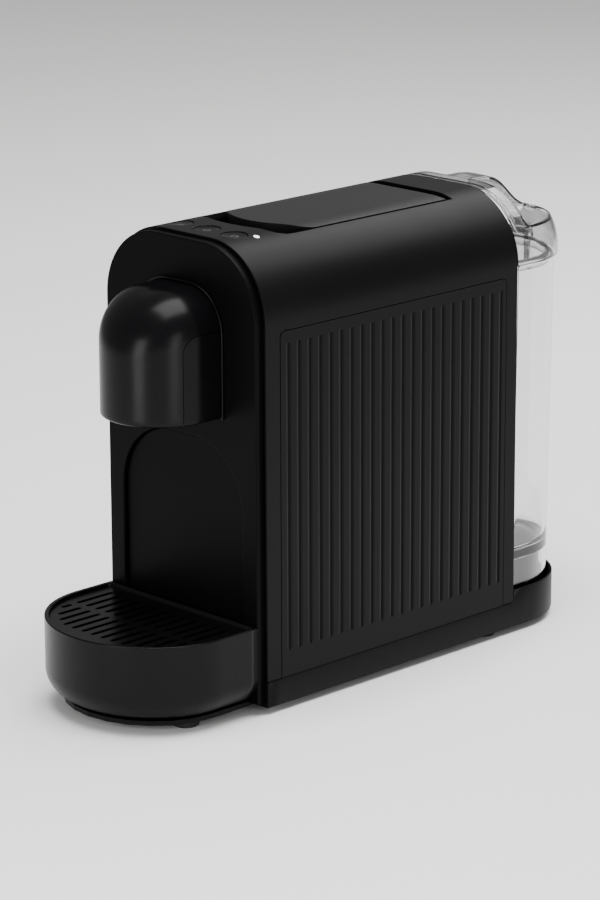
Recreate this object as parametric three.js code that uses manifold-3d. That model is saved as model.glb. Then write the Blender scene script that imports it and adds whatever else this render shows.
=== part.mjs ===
// Pod coffee machine. Millimetres, +Z up. The drip tray faces -Y and the water tank is at +Y.
// Every piece is modelled with Y = 0 at the housing's front edge, X = 0 on the centre plane and
// Z = 0 on the table; the outermost group then moves the origin to the middle of the footprint.
import * as THREE from 'three';
import { mergeVertices } from 'three/addons/utils/BufferGeometryUtils.js';
import Module from 'manifold-3d';

const wasm = await Module();
wasm.setup();

// ---- Driving dimensions: the whole machine ----
const WIDTH = 114;
const HEIGHT = 244.6;
const BODY_DEPTH = 187;
const TANK_DEPTH = 59;
const TRAY_REACH = 81.6;

// ---- Clearances ----
const FIT = 0.3;
const SLIDE_FIT = 0.5;
const LOOSE_FIT = 1.2;

// ---- Housing ----
const CORNER_RADIUS = 39;
const SHELL_WALL = 3.4;
const SHELL_BOTTOM = 18;
const FASCIA_THICKNESS = 5.4;
const FASCIA_STEP = 1.5;
const FASCIA_BOTTOM = 6.8;
const PANEL_FRONT = 10;
const PANEL_REAR_MARGIN = 8.6;
const PANEL_TOP = 200.9;
const PANEL_RECESS = 2;
const PANEL_RADIUS = 3;
const GROOVE_COUNT = 22;
const GROOVE_WIDTH = 1.8;
const GROOVE_DEPTH = 0.8;
const GROOVE_END_MARGIN = 5.9;
const GROOVE_BOTTOM = 31.8;
const GROOVE_TOP_MARGIN = 6.1;
const REAR_WALL_THICKNESS = 2.4;

// ---- Base and feet ----
const FOOT_HEIGHT = 4;
const FOOT_RADIUS = 7;
const BASE_FLOOR = 3;
const BASE_WALL = 2.6;
const RIM_TOP = 24.8;
const RIM_WALL = 1.3;
const REAR_RADIUS = 45;
const REAR_FILLET = 16;
const TONGUE_INSET = 9;
const SCREW_RADIUS = 1.4;
const SCREW_HEAD_RADIUS = 3;
const SCREW_LENGTH = 20;
const BOSS_RADIUS = 4.6;
const BOSS_INSET = 8.2;

// ---- Drip tray, grille and capsule bin ----
const TRAY_TOP = 48.7;
const TRAY_BOTTOM = 7;
const TRAY_WALL = 2.4;
const TRAY_STRAIGHT = 24.3;
const TRAY_FILLET = 14;
const GRILLE_RECESS = 1.8;
const GRILLE_THICKNESS = 2;
const SLOT_PITCH = 7.35;
const SLOT_WIDTH = 3;
const SLOT_MARGIN = 6;
const SLOT_ROWS = 2;
const SLOT_BRIDGE = 3.6;
const ARCH_HALF = 44.7;
const ARCH_TOP = 141;
const ARCH_RADIUS = 36;
const BIN_HALF = 38.5;
const BIN_DEPTH = 86;
const BIN_TOP = 118;
const BIN_WALL = 2;

// ---- Brew head ----
const HEAD_HALF = 31.2;
const HEAD_BOTTOM = 154;
const HEAD_TOP = 220;
const HEAD_REACH = 44.5;
const HEAD_RADIUS = 23;
const HEAD_NOSE_RADIUS = 31;
const HEAD_TURN = 15;
const HEAD_WALL = 2.4;
const CHEEK_REACH = 24.8;
const CHEEK_TOP = 199.8;
const CHEEK_RADIUS = 9;
const COLLAR_WIDTH = 1.4;

// ---- Lever, its well and the toggle linkage ----
const LEVER_HALF = 31;
const LEVER_NOSE = 42.5;
const LEVER_TAIL = 157.5;
const LEVER_TAIL_RADIUS = 10.1;
const LEVER_NOSE_RADIUS = 38.5;
const LEVER_THICKNESS = 3.4;
const LEVER_FLANGE = 5.2;
const WELL_FRONT = 30;
const WELL_REAR = 162.6;
const WELL_DEPTH = 22.6;
const WELL_WALL = 1.6;
const PIVOT_Y = 152;
const PIVOT_DROP = 9.6;
const PIVOT_RADIUS = 2;
const KNEE_RADIUS = 15;
const BREW_Y = 100;
const BREW_DROP = 46.6;
const LINK_INNER = 6.8;
const LINK_WIDTH = 4;

// ---- Brew unit ----
const PISTON_RADIUS = 20.6;
const PISTON_FRONT = 80;
const PISTON_LENGTH = 9;
const OUTLET_Y = 44;
const FRAME_HALF = 24;
const FRAME_WALL = 3;
const FRAME_REAR = 142;

// ---- Buttons ----
const BUTTON_RADIUS = 6.75;
const BUTTON_PITCH = 20;
const BUTTON_Y = 14;
const BUTTON_TRAVEL = 0.8;
const BUTTON_LENGTH = 6.8;
const BUTTON_FLANGE = 1.5;
const LIGHT_RADIUS = 2;
const LIGHT_X = 28;
const LIGHT_Y = 22;

// ---- Water tank and lid ----
const TANK_HALF = 56;
const TANK_SEAM = 205.8;
const TANK_FLOOR_TOP = 43.6;
const TANK_SKIRT_BOTTOM = 15;
const TANK_WALL = 2.2;
const TANK_TAPER = 2;
const LID_REAR_RADIUS = 33;
const LID_WALL = 2.4;
const SCOOP_BOTTOM = 225;
const SCOOP_FRONT = 12.5;
const BAR_HALF = 11;
const VALVE_RADIUS = 6.5;
const VALVE_TRAVEL = 2.7;

// ---- Values that follow from them ----
const HALF = WIDTH / 2;
const REAR = BODY_DEPTH + TANK_DEPTH;
const FASCIA_FRONT = -FASCIA_THICKNESS - FIT;
const BASE_TOP = SHELL_BOTTOM - FIT;
const FLOOR_TOP = FOOT_HEIGHT + BASE_FLOOR;
const INNER_HALF = HALF - SHELL_WALL;
const SKIN_BOTTOM = HEIGHT - SHELL_WALL;
const TRAY_REAR = FASCIA_FRONT - FIT;
const TRAY_FRONT = -TRAY_REACH;
const TRAY_HALF = HALF - 0.9;
const TANK_FRONT = BODY_DEPTH + SLIDE_FIT;
const TANK_REAR = REAR - RIM_WALL - LOOSE_FIT;
const TANK_RADIUS = REAR_RADIUS - RIM_WALL - LOOSE_FIT;
const TANK_MID = (TANK_FRONT + REAR) / 2;
const PEDESTAL_TOP = TANK_FLOOR_TOP - 3.4;
const WELL_FLOOR = HEIGHT - WELL_DEPTH;
const WELL_HALF = LEVER_HALF + SLIDE_FIT;
const PIVOT_Z = HEIGHT - PIVOT_DROP;
const BREW_Z = HEIGHT - BREW_DROP;
const BUTTON_BOTTOM = HEIGHT - BUTTON_LENGTH;
const CURVE_STEPS = 6;
const SLOT_STEPS = 1;

const machine = new THREE.Group();
machine.position.y = (TRAY_REACH - REAR) / 2;

// ---- Solids: a closed mesh becomes a solid, and a solid becomes a mesh again ----
function toSolid(shape) {
  if (!shape.isBufferGeometry) return shape;
  const bare = shape.clone();
  bare.deleteAttribute('normal');
  bare.deleteAttribute('uv');
  const merged = mergeVertices(bare, 1e-3);
  const corners = merged.index.array;
  const kept = [];
  for (let i = 0; i < corners.length; i += 3) {
    const [a, b, c] = [corners[i], corners[i + 1], corners[i + 2]];
    if (a !== b && b !== c && c !== a) kept.push(a, b, c);
  }
  const vertProperties = Float32Array.from(merged.attributes.position.array);
  const triVerts = Uint32Array.from(kept);
  return new wasm.Manifold(new wasm.Mesh({ numProp: 3, vertProperties, triVerts }));
}

const join = (...shapes) => shapes.map(toSolid).reduce((whole, piece) => whole.add(piece));
const cut = (whole, ...tools) => tools.map(toSolid).reduce((rest, tool) => rest.subtract(tool),
  toSolid(whole));
const common = (...shapes) => shapes.map(toSolid).reduce((rest, piece) => rest.intersect(piece));

function toGeometry(solid) {
  const { vertProperties, triVerts } = toSolid(solid).getMesh();
  const geometry = new THREE.BufferGeometry();
  geometry.setAttribute('position', new THREE.BufferAttribute(new Float32Array(vertProperties), 3));
  geometry.setIndex(Array.from(triVerts));
  return geometry;
}

function part(name, material, solid, place = [0, 0, 0]) {
  const piece = new THREE.Mesh(toGeometry(solid), material.clone());
  piece.name = name;
  piece.position.set(...place);
  machine.add(piece);
  return piece;
}

// ---- Placing simple shapes ----
const span = ([low, high]) => high - low;
const middle = ([low, high]) => (low + high) / 2;

function block(x, y, z) {
  return new THREE.BoxGeometry(span(x), span(y), span(z)).translate(middle(x), middle(y), middle(z));
}

function extrude(shape, depth, options = {}) {
  return new THREE.ExtrudeGeometry(shape, { depth, bevelEnabled: false, curveSegments: CURVE_STEPS,
    ...options });
}

// An outline drawn in (x, z), carried along Y.
function alongY(shape, [y0, y1], options) {
  return extrude(shape, y1 - y0, options).rotateX(Math.PI / 2).translate(0, y1, 0);
}

// An outline drawn in (x, y), carried along Z.
function alongZ(shape, [z0, z1], options) {
  return extrude(shape, z1 - z0, options).translate(0, 0, z0);
}

// An outline drawn in (y, z), carried along X.
function alongX(shape, [x0, x1], options) {
  const turn = new THREE.Matrix4().makeBasis(
    new THREE.Vector3(0, 1, 0), new THREE.Vector3(0, 0, 1), new THREE.Vector3(1, 0, 0));
  return extrude(shape, x1 - x0, options).applyMatrix4(turn).translate(x0, 0, 0);
}

// A cylinder along one axis, at (u, v) on the other two axes in X, Y, Z order.
function rod(axis, radius, [start, end], [u, v], sides = 12) {
  const geometry = new THREE.CylinderGeometry(radius, radius, end - start, sides);
  const mid = (start + end) / 2;
  if (axis === 'x') return geometry.rotateZ(-Math.PI / 2).translate(mid, u, v);
  if (axis === 'y') return geometry.translate(u, mid, v);
  return geometry.rotateX(Math.PI / 2).translate(u, v, mid);
}

// A ring along one axis: a rod with a bore.
function ring(axis, radius, bore, [start, end], place, sides = 12) {
  return cut(rod(axis, radius, [start, end], place, sides), rod(axis, bore, [start - 1, end + 1], place,
    sides));
}

// A hose with a bore, along a smooth curve through the given points.
function hose(points, radius = 3.2, bore = 1.8, steps = 9) {
  const section = new THREE.Shape();
  section.absarc(0, 0, radius, 0, 2 * Math.PI, false);
  const hole = new THREE.Path();
  hole.absarc(0, 0, bore, 0, 2 * Math.PI, true);
  section.holes.push(hole);
  const path = new THREE.CatmullRomCurve3(points.map((point) => new THREE.Vector3(...point)));
  return new THREE.ExtrudeGeometry(section, { steps, extrudePath: path, curveSegments: 3,
    bevelEnabled: false });
}

// ---- Outlines ----
// An upright arch: straight sides, a flat top and two round upper corners.
function archOutline(half, bottom, top, radius) {
  const shape = new THREE.Shape();
  shape.moveTo(-half, bottom);
  shape.lineTo(half, bottom);
  shape.lineTo(half, top - radius);
  shape.absarc(half - radius, top - radius, radius, 0, Math.PI / 2, false);
  shape.absarc(radius - half, top - radius, radius, Math.PI / 2, Math.PI, false);
  return shape;
}

// A plan outline with a straight front and two round rear corners.
function rearOutline(half, front, rear, radius) {
  const shape = new THREE.Shape();
  shape.moveTo(-half, front);
  shape.lineTo(half, front);
  shape.lineTo(half, rear - radius);
  shape.absarc(half - radius, rear - radius, radius, 0, Math.PI / 2, false);
  shape.absarc(radius - half, rear - radius, radius, Math.PI / 2, Math.PI, false);
  return shape;
}

// The drip tray's plan: straight sides in front of the fascia, then half an ellipse.
function trayOutline(inset, rear) {
  const shape = new THREE.Shape();
  shape.moveTo(TRAY_HALF - inset, rear);
  shape.lineTo(inset - TRAY_HALF, rear);
  shape.absellipse(0, TRAY_REAR - TRAY_STRAIGHT, TRAY_HALF - inset,
    TRAY_REACH + TRAY_REAR - TRAY_STRAIGHT - inset,
    Math.PI, 2 * Math.PI, false);
  return shape;
}

function roundedRectangle([x0, x1], [y0, y1], radius) {
  const shape = new THREE.Shape();
  shape.absarc(x1 - radius, y1 - radius, radius, 0, Math.PI / 2, false);
  shape.absarc(x0 + radius, y1 - radius, radius, Math.PI / 2, Math.PI, false);
  shape.absarc(x0 + radius, y0 + radius, radius, Math.PI, 1.5 * Math.PI, false);
  shape.absarc(x1 - radius, y0 + radius, radius, 1.5 * Math.PI, 2 * Math.PI, false);
  return shape;
}

// ---- Materials ----
const plastic = (color, roughness) => new THREE.MeshStandardMaterial({ color, roughness, metalness: 0 });
const metal = (color, roughness) => new THREE.MeshStandardMaterial({ color, roughness, metalness: 1 });
const BLACK_HOUSING = plastic(0x141414, 0.5);
const BLACK_SATIN = plastic(0x101011, 0.35);
const BLACK_FASCIA = plastic(0x0c0c0c, 0.45);
const GREY_LEVER = plastic(0x3c3c3e, 0.45);
const CLEAR_TANK = new THREE.MeshStandardMaterial({
  color: 0xdde1e4, roughness: 0.08, metalness: 0, transparent: true, opacity: 0.35 });
const SMOKED_LID = new THREE.MeshStandardMaterial({
  color: 0x9a9da0, roughness: 0.1, metalness: 0, transparent: true, opacity: 0.5 });
const INNER_PLASTIC = plastic(0x2a2a2c, 0.6);
const WHITE_PLASTIC = plastic(0xd8d8d4, 0.5);
const RUBBER = plastic(0x1a1a1a, 0.85);
const SILICONE = plastic(0xb8bcbc, 0.6);
const STEEL = metal(0xb4b6b8, 0.35);
const ALUMINIUM = metal(0xa8aaac, 0.5);
const BRASS = metal(0xb08d4a, 0.4);
const BOARD_GREEN = plastic(0x1d4a2c, 0.5);
const LAMP_WHITE = plastic(0xf2f2f0, 0.3);

// ---- Housing ----
const BUTTON_XS = [-BUTTON_PITCH, 0, BUTTON_PITCH];
const outerArch = (inset = 0, bottom = SHELL_BOTTOM) =>
  archOutline(HALF - inset, bottom, HEIGHT - inset, CORNER_RADIUS - inset);
const SCREW_PLACES = [
  [-INNER_HALF + BOSS_INSET, BOSS_INSET + 5], [INNER_HALF - BOSS_INSET, BOSS_INSET + 5],
  [-INNER_HALF + BOSS_INSET, BODY_DEPTH - BOSS_INSET - 5], [INNER_HALF - BOSS_INSET,
    BODY_DEPTH - BOSS_INSET - 5]];
const SCREW_HEAD_BOTTOM = FOOT_HEIGHT + 5;

// The opening in the top: a shallow arc in front, round front corners and straight sides.
function wellOutline(inset) {
  const half = WELL_HALF - inset;
  const corner = 11 - inset;
  const shape = new THREE.Shape();
  shape.moveTo(half, WELL_REAR - inset);
  shape.lineTo(-half, WELL_REAR - inset);
  shape.lineTo(-half, WELL_FRONT + 3 + 11);
  shape.absarc(corner - half, WELL_FRONT + 3 + 11, corner, Math.PI, 1.5 * Math.PI, false);
  shape.quadraticCurveTo(0, WELL_FRONT - 3 + inset, half - corner, WELL_FRONT + 3 + inset);
  shape.absarc(half - corner, WELL_FRONT + 3 + 11, corner, 1.5 * Math.PI, 2 * Math.PI, false);
  return shape;
}

// One side's panel outline, grown outwards by a margin; open at the bottom edge.
function panelOutline(margin) {
  const radius = PANEL_RADIUS + margin;
  const front = PANEL_FRONT - margin;
  const rear = BODY_DEPTH - PANEL_REAR_MARGIN + margin;
  const shape = new THREE.Shape();
  shape.moveTo(front, SHELL_BOTTOM);
  shape.lineTo(rear, SHELL_BOTTOM);
  shape.absarc(rear - radius, PANEL_TOP + margin - radius, radius, 0, Math.PI / 2, false);
  shape.absarc(front + radius, PANEL_TOP + margin - radius, radius, Math.PI / 2, Math.PI, false);
  return shape;
}

const sideSpan = (side, inner, outer) => (side > 0 ? [inner, outer] : [-outer, -inner]);

function mainShell() {
  let shell = cut(alongY(outerArch(), [0, BODY_DEPTH]), alongY(outerArch(SHELL_WALL, SHELL_BOTTOM - 1),
    [-1, BODY_DEPTH + 1]));
  for (const side of [-1, 1]) {
    shell = cut(shell, alongX(panelOutline(0), sideSpan(side, HALF - PANEL_RECESS, HALF + 1)));
  }
  for (const [x, y] of SCREW_PLACES) {
    const wallX = Math.sign(x) * (INNER_HALF + 1);
    const rib = block([Math.min(x, wallX), Math.max(x, wallX)], [y - 1.2, y + 1.2], [SHELL_BOTTOM,
      SHELL_BOTTOM + 16]);
    shell = join(shell, rod('z', BOSS_RADIUS, [SHELL_BOTTOM, SHELL_BOTTOM + 18], [x, y], 10), rib);
    shell = cut(shell, rod('z', SCREW_RADIUS + 0.1, [SHELL_BOTTOM - 1, SHELL_BOTTOM + 15], [x, y], 8));
  }
  const holes = BUTTON_XS.map((x) => rod('z', BUTTON_RADIUS + FIT, [SKIN_BOTTOM - 9, HEIGHT + 1], [x,
    BUTTON_Y]));
  const lightHole = rod('z', LIGHT_RADIUS + 0.15, [SKIN_BOTTOM - 9, HEIGHT + 1], [LIGHT_X, LIGHT_Y], 12);
  return cut(shell, alongZ(wellOutline(0), [SKIN_BOTTOM - 9, HEIGHT + 1]), lightHole, ...holes);
}

// A ribbed side panel: a thin plate with upright grooves.
function sidePanel(side) {
  const outer = HALF;
  const inner = HALF - PANEL_RECESS + FIT;
  const firstGroove = PANEL_FRONT + GROOVE_END_MARGIN;
  const lastGroove = BODY_DEPTH - PANEL_REAR_MARGIN - GROOVE_END_MARGIN + 1.7;
  const pitch = (lastGroove - firstGroove) / (GROOVE_COUNT - 1);
  const grooves = [];
  for (let i = 0; i < GROOVE_COUNT; i += 1) {
    const y = firstGroove + i * pitch;
    grooves.push(block(sideSpan(side, outer - GROOVE_DEPTH, outer + 1), [y - GROOVE_WIDTH / 2,
      y + GROOVE_WIDTH / 2],
      [GROOVE_BOTTOM, PANEL_TOP - GROOVE_TOP_MARGIN]));
  }
  return cut(alongX(panelOutline(-FIT), sideSpan(side, inner, outer)), ...grooves);
}

part('main_shell', BLACK_HOUSING, mainShell());
part('side_panel_right', BLACK_HOUSING, sidePanel(-1));
part('side_panel_left', BLACK_HOUSING, sidePanel(1));

// Fascia: the front plate, with an arch for the capsule bin and an opening for the brew head.
const headOpening = archOutline(HEAD_HALF - 5, HEAD_BOTTOM + 4, HEAD_TOP - 5, HEAD_RADIUS - 5);
function frontFascia() {
  const outline = archOutline(HALF - FASCIA_STEP, FASCIA_BOTTOM, HEIGHT - FASCIA_STEP,
    CORNER_RADIUS - FASCIA_STEP);
  const plate = alongY(outline, [FASCIA_FRONT, -FIT]);
  const lip = cut(alongY(outerArch(SHELL_WALL + FIT, PANEL_TOP), [-FIT - 1, 3]),
    alongY(outerArch(SHELL_WALL + FIT + 2, PANEL_TOP - 1), [-2, 4]));
  const arch = alongY(archOutline(ARCH_HALF, 0, ARCH_TOP, ARCH_RADIUS), [FASCIA_FRONT - 1, 1]);
  return cut(join(plate, lip), arch, alongY(headOpening, [FASCIA_FRONT - 1, 1]));
}
part('front_fascia', BLACK_FASCIA, frontFascia());

// Rear wall behind the tank, with a passage at the bottom for the water bridge and two vent rows.
const BRIDGE_HALF = 19;
const BRIDGE_TOP = PEDESTAL_TOP - 4;
function rearWall() {
  const slots = [];
  for (let i = 0; i < 7; i += 1) {
    const z = 120 + i * 9;
    slots.push(block([-24, 24], [BODY_DEPTH - 8, BODY_DEPTH + 1], [z, z + 3]));
  }
  const plate = alongY(outerArch(SHELL_WALL + FIT, SHELL_BOTTOM + FIT),
    [BODY_DEPTH - 0.4 - REAR_WALL_THICKNESS, BODY_DEPTH - 0.4]);
  const passage = block([-BRIDGE_HALF - SLIDE_FIT, BRIDGE_HALF + SLIDE_FIT], [BODY_DEPTH - 8, BODY_DEPTH + 1],
    [0, BRIDGE_TOP + SLIDE_FIT]);
  const corners = SCREW_PLACES.map(([x, y]) => rod('z', BOSS_RADIUS + FIT, [0, SHELL_BOTTOM + 20], [x, y],
    12));
  return cut(plate, passage, ...slots, ...corners);
}
part('rear_wall', BLACK_HOUSING, rearWall());

// ---- Base: a pan under the housing, a tongue under the tray and a platform under the tank ----
const tankInset = (margin) => rearOutline(TANK_HALF - TANK_TAPER + margin, TANK_FRONT - margin,
  TANK_REAR - TANK_TAPER + margin, TANK_RADIUS - TANK_TAPER + margin);
const SKIRT_GAP = TANK_TAPER + LOOSE_FIT / 2;
const HOSE_Z = 27;
const VALVE_PLACE = [0, TANK_MID - 2];

function baseChassis() {
  const rearProfile = new THREE.Shape();
  rearProfile.moveTo(TRAY_FRONT, FOOT_HEIGHT);
  rearProfile.lineTo(REAR - REAR_FILLET, FOOT_HEIGHT);
  rearProfile.absarc(REAR - REAR_FILLET, FOOT_HEIGHT + REAR_FILLET, REAR_FILLET, -Math.PI / 2, 0, false);
  rearProfile.lineTo(REAR, RIM_TOP);
  rearProfile.lineTo(TRAY_FRONT, RIM_TOP);
  const pan = cut(alongZ(rearOutline(HALF, 0, REAR, REAR_RADIUS), [FOOT_HEIGHT, RIM_TOP]),
    block([-HALF - 1, HALF + 1], [-1, BODY_DEPTH + FIT], [BASE_TOP, RIM_TOP + 1]));
  let base = common(pan, alongX(rearProfile, [-HALF, HALF]));
  const skirtRecess = alongZ(tankInset(SKIRT_GAP), [TANK_SKIRT_BOTTOM - 2, RIM_TOP + 1]);
  const pedestal = alongZ(rearOutline(TANK_HALF - TANK_TAPER - TANK_WALL - 2, TANK_FRONT + TANK_WALL + 2,
    TANK_REAR - TANK_TAPER - TANK_WALL - 2, TANK_RADIUS - TANK_TAPER - TANK_WALL - 2),
  [TANK_SKIRT_BOTTOM - 3, PEDESTAL_TOP]);
  const bridge = block([-BRIDGE_HALF, BRIDGE_HALF], [BODY_DEPTH - 6, TANK_FRONT + 12], [FLOOR_TOP,
    BRIDGE_TOP]);
  base = join(cut(base, skirtRecess), pedestal, bridge);
  const interior = block([BASE_WALL - HALF, HALF - BASE_WALL], [BASE_WALL, BODY_DEPTH - 6], [FLOOR_TOP,
    RIM_TOP]);
  const hollow = block([3 - BRIDGE_HALF, BRIDGE_HALF - 3], [BODY_DEPTH - 12, REAR - 20], [FLOOR_TOP,
    BRIDGE_TOP - 3]);
  const binGate = block([-BIN_HALF - LOOSE_FIT, BIN_HALF + LOOSE_FIT], [-1, BASE_WALL + 1],
    [FLOOR_TOP - 0.01, RIM_TOP]);
  const socketSeat = rod('z', 12.3, [20, PEDESTAL_TOP + 1], VALVE_PLACE);
  base = cut(base, interior, hollow, binGate, socketSeat);
  const tongue = alongZ(trayOutline(TONGUE_INSET, 1), [FOOT_HEIGHT, FLOOR_TOP - 0.6]);
  base = join(base, tongue);
  for (const [x, y] of SCREW_PLACES) {
    base = join(base, rod('z', BOSS_RADIUS + 1, [FOOT_HEIGHT, BASE_TOP], [x, y], 10));
    base = cut(base, rod('z', SCREW_RADIUS + 0.3, [0, RIM_TOP], [x, y], 8),
      rod('z', SCREW_HEAD_RADIUS + FIT, [0, SCREW_HEAD_BOTTOM + 2.6], [x, y], 10));
  }
  for (const [x, y] of FOOT_PLACES) base = cut(base, rod('z', 2.6, [0, FOOT_HEIGHT + 1.6], [x, y], 8));
  const posts = [...BLOCK_POSTS, ...BOARD_POSTS].map(([x, y, top]) => rod('z', 3, [FLOOR_TOP - 1, top], [x,
    y], 8));
  base = join(base, ...posts);
  return cut(base, rod('x', GLAND_RADIUS + 0.15, [-HALF - 1, -HALF + BASE_WALL + 1], GLAND_PLACE));
}

// ---- Places shared by the inner parts ----
const FOOT_PLACES = [
  [-36, TRAY_REAR - 32], [36, TRAY_REAR - 32],
  [12 - HALF, BODY_DEPTH - 12], [HALF - 12, BODY_DEPTH - 12]];
const GLAND_RADIUS = 4.2;
const GLAND_PLACE = [BODY_DEPTH - 38, 11.8];
const PUMP = [HALF - 33, 130];
const BLOCK_X = [15 - HALF, 47 - HALF];
const BLOCK_Y = [100, 160];
const BLOCK_Z = [60, 138];
const BLOCK_POSTS = [[BLOCK_X[0] + 6, BLOCK_Y[0] + 8, BLOCK_Z[0] - FIT], [BLOCK_X[0] + 6, BLOCK_Y[1] - 8,
  BLOCK_Z[0] - FIT]];
const BOARD_X = 3 - INNER_HALF;
const POWER_BOARD_BOTTOM = 20;
const BOARD_POSTS = [[BOARD_X + 0.8, 102, POWER_BOARD_BOTTOM - FIT], [BOARD_X + 0.8, 158,
  POWER_BOARD_BOTTOM - FIT]];

part('base_chassis', BLACK_HOUSING, baseChassis());

function foot() {
  return join(rod('z', FOOT_RADIUS, [0, FOOT_HEIGHT - 0.1], [0, 0]), rod('z', 2.3, [1, FOOT_HEIGHT + 1.3],
    [0, 0], 8));
}
const FOOT_NAMES = ['foot_front_right', 'foot_front_left', 'foot_rear_right', 'foot_rear_left'];
FOOT_PLACES.forEach(([x, y], i) => part(FOOT_NAMES[i], RUBBER, foot(), [x, y, 0]));

// A base screw: a pan head with a cross recess and a plain shank.
function baseScrew() {
  const head = rod('z', SCREW_HEAD_RADIUS, [0, 2.3], [0, 0], 10);
  const recess = join(block([-1.8, 1.8], [-0.4, 0.4], [-1, 1]), block([-0.4, 0.4], [-1.8, 1.8], [-1, 1]));
  return cut(join(head, rod('z', SCREW_RADIUS - 0.1, [2, SCREW_LENGTH], [0, 0], 8)), recess);
}
SCREW_PLACES.forEach(([x, y], i) => part(`base_screw_${i + 1}`, STEEL, baseScrew(), [x, y,
  SCREW_HEAD_BOTTOM]));

// ---- Drip tray, grille and capsule bin ----
const LEDGE_TOP = TRAY_TOP - GRILLE_RECESS - GRILLE_THICKNESS - 0.2;
function dripTray() {
  const bowl = (inset, bottom, radius) => alongZ(trayOutline(inset, TRAY_REAR + 30), [bottom + radius,
    TRAY_TOP + 30],
    { bevelEnabled: true, bevelThickness: radius, bevelSize: radius, bevelOffset: -radius,
      bevelSegments: 3 });
  const front = block([-HALF - 1, HALF + 1], [TRAY_FRONT - 1, TRAY_REAR], [0, TRAY_TOP]);
  const pool = block([-HALF - 1, HALF + 1], [TRAY_FRONT - 1, TRAY_REAR - TRAY_WALL], [0, LEDGE_TOP]);
  const well = block([-HALF - 1, HALF + 1], [TRAY_FRONT - 1, TRAY_REAR - TRAY_WALL], [LEDGE_TOP - 1,
    TRAY_TOP + 5]);
  const outer = common(bowl(0, TRAY_BOTTOM, TRAY_FILLET), front);
  const inner = common(bowl(TRAY_WALL + 2, TRAY_BOTTOM + TRAY_WALL, TRAY_FILLET - TRAY_WALL), pool);
  const seat = common(bowl(TRAY_WALL, LEDGE_TOP - 20, 10), cut(well, block([-HALF, HALF], [TRAY_FRONT, 0],
    [0, LEDGE_TOP])));
  const tongue = block([-BIN_HALF + 2, BIN_HALF - 2], [TRAY_REAR - 2, BIN_DEPTH - 2], [TRAY_BOTTOM + 0.3,
    TRAY_BOTTOM + 2.6]);
  return join(cut(outer, inner, seat), tongue);
}

// The grille: slots parallel to the machine's length, in two rows with a bridge between them.
function dripGrille() {
  const top = TRAY_TOP - GRILLE_RECESS;
  const inset = TRAY_WALL + 0.4;
  const rear = TRAY_REAR - TRAY_WALL - 0.4;
  const plate = alongZ(trayOutline(inset, rear), [top - GRILLE_THICKNESS, top]);
  const columns = Math.floor((TRAY_HALF - inset - SLOT_MARGIN) / SLOT_PITCH);
  const middleY = TRAY_REAR - TRAY_STRAIGHT;
  const rowLength = (rear - SLOT_MARGIN - (TRAY_FRONT + inset + SLOT_MARGIN)) / SLOT_ROWS;
  const slots = [];
  for (let column = -columns; column <= columns; column += 1) {
    const x = column * SLOT_PITCH;
    const across = x / (TRAY_HALF - inset - SLOT_MARGIN + 3);
    const reach = (middleY - TRAY_FRONT - inset - SLOT_MARGIN) * Math.sqrt(Math.max(0, 1 - across * across));
    for (let row = 0; row < SLOT_ROWS; row += 1) {
      const far = rear - SLOT_MARGIN - row * rowLength;
      const near = Math.max(far - rowLength + SLOT_BRIDGE, middleY - reach);
      if (far - near < 1.5 * SLOT_WIDTH) continue;
      const outline = roundedRectangle([x - SLOT_WIDTH / 2, x + SLOT_WIDTH / 2], [near, far],
        SLOT_WIDTH / 2 - 0.01);
      slots.push(alongZ(outline, [top - GRILLE_THICKNESS - 1, top + 1], { curveSegments: SLOT_STEPS }));
    }
  }
  return cut(plate, ...slots);
}

// The bin: an arched front wall that fills the fascia's arch, and an open box behind it.
function capsuleBin() {
  const bottom = TRAY_BOTTOM + 2.9;
  const wall = alongY(archOutline(ARCH_HALF - 0.4, bottom, ARCH_TOP - 0.4, ARCH_RADIUS - 0.4), [-3.4, -1.4]);
  const box = alongZ(roundedRectangle([-BIN_HALF, BIN_HALF], [-1.5, BIN_DEPTH], 6), [bottom, BIN_TOP],
    { curveSegments: 4 });
  const space = alongZ(roundedRectangle([BIN_WALL - BIN_HALF, BIN_HALF - BIN_WALL], [0.6,
    BIN_DEPTH - BIN_WALL], 4),
    [bottom + BIN_WALL, BIN_TOP + 1], { curveSegments: 4 });
  return join(wall, cut(box, space));
}
part('drip_tray', BLACK_SATIN, dripTray());
part('drip_grille', BLACK_SATIN, dripGrille());
part('capsule_bin', BLACK_SATIN, capsuleBin());

// ---- Brew head in front of the fascia ----
// The head is the hull of a domed nose and of an arch at the fascia. The dome's shoulder radius grows
// from the flanks to the front.
function headForm(inset, bottom, front = 0) {
  const half = HEAD_HALF - inset;
  const centre = FASCIA_FRONT - HEAD_REACH + HEAD_HALF;
  const back = FASCIA_FRONT - FIT + front;
  const corners = [];
  for (let turn = 0; turn <= 180; turn += HEAD_TURN) {
    const across = Math.cos(THREE.MathUtils.degToRad(turn));
    const ahead = Math.sin(THREE.MathUtils.degToRad(turn));
    const radius = HEAD_RADIUS + (HEAD_NOSE_RADIUS - HEAD_RADIUS) * ahead ** 2 - inset;
    const column = [[half, bottom]];
    for (let rise = 0; rise <= 90; rise += HEAD_TURN) {
      const angle = THREE.MathUtils.degToRad(rise);
      column.push([half - radius * (1 - Math.cos(angle)), HEAD_TOP - inset - radius * (1 - Math.sin(angle))]);
    }
    for (const [reach, high] of column) {
      corners.push([reach * across, centre - reach * ahead, high]);
      if (turn % 180 === 0) corners.push([reach * across, back, high]);
    }
  }
  return wasm.Manifold.hull(corners);
}

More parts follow.
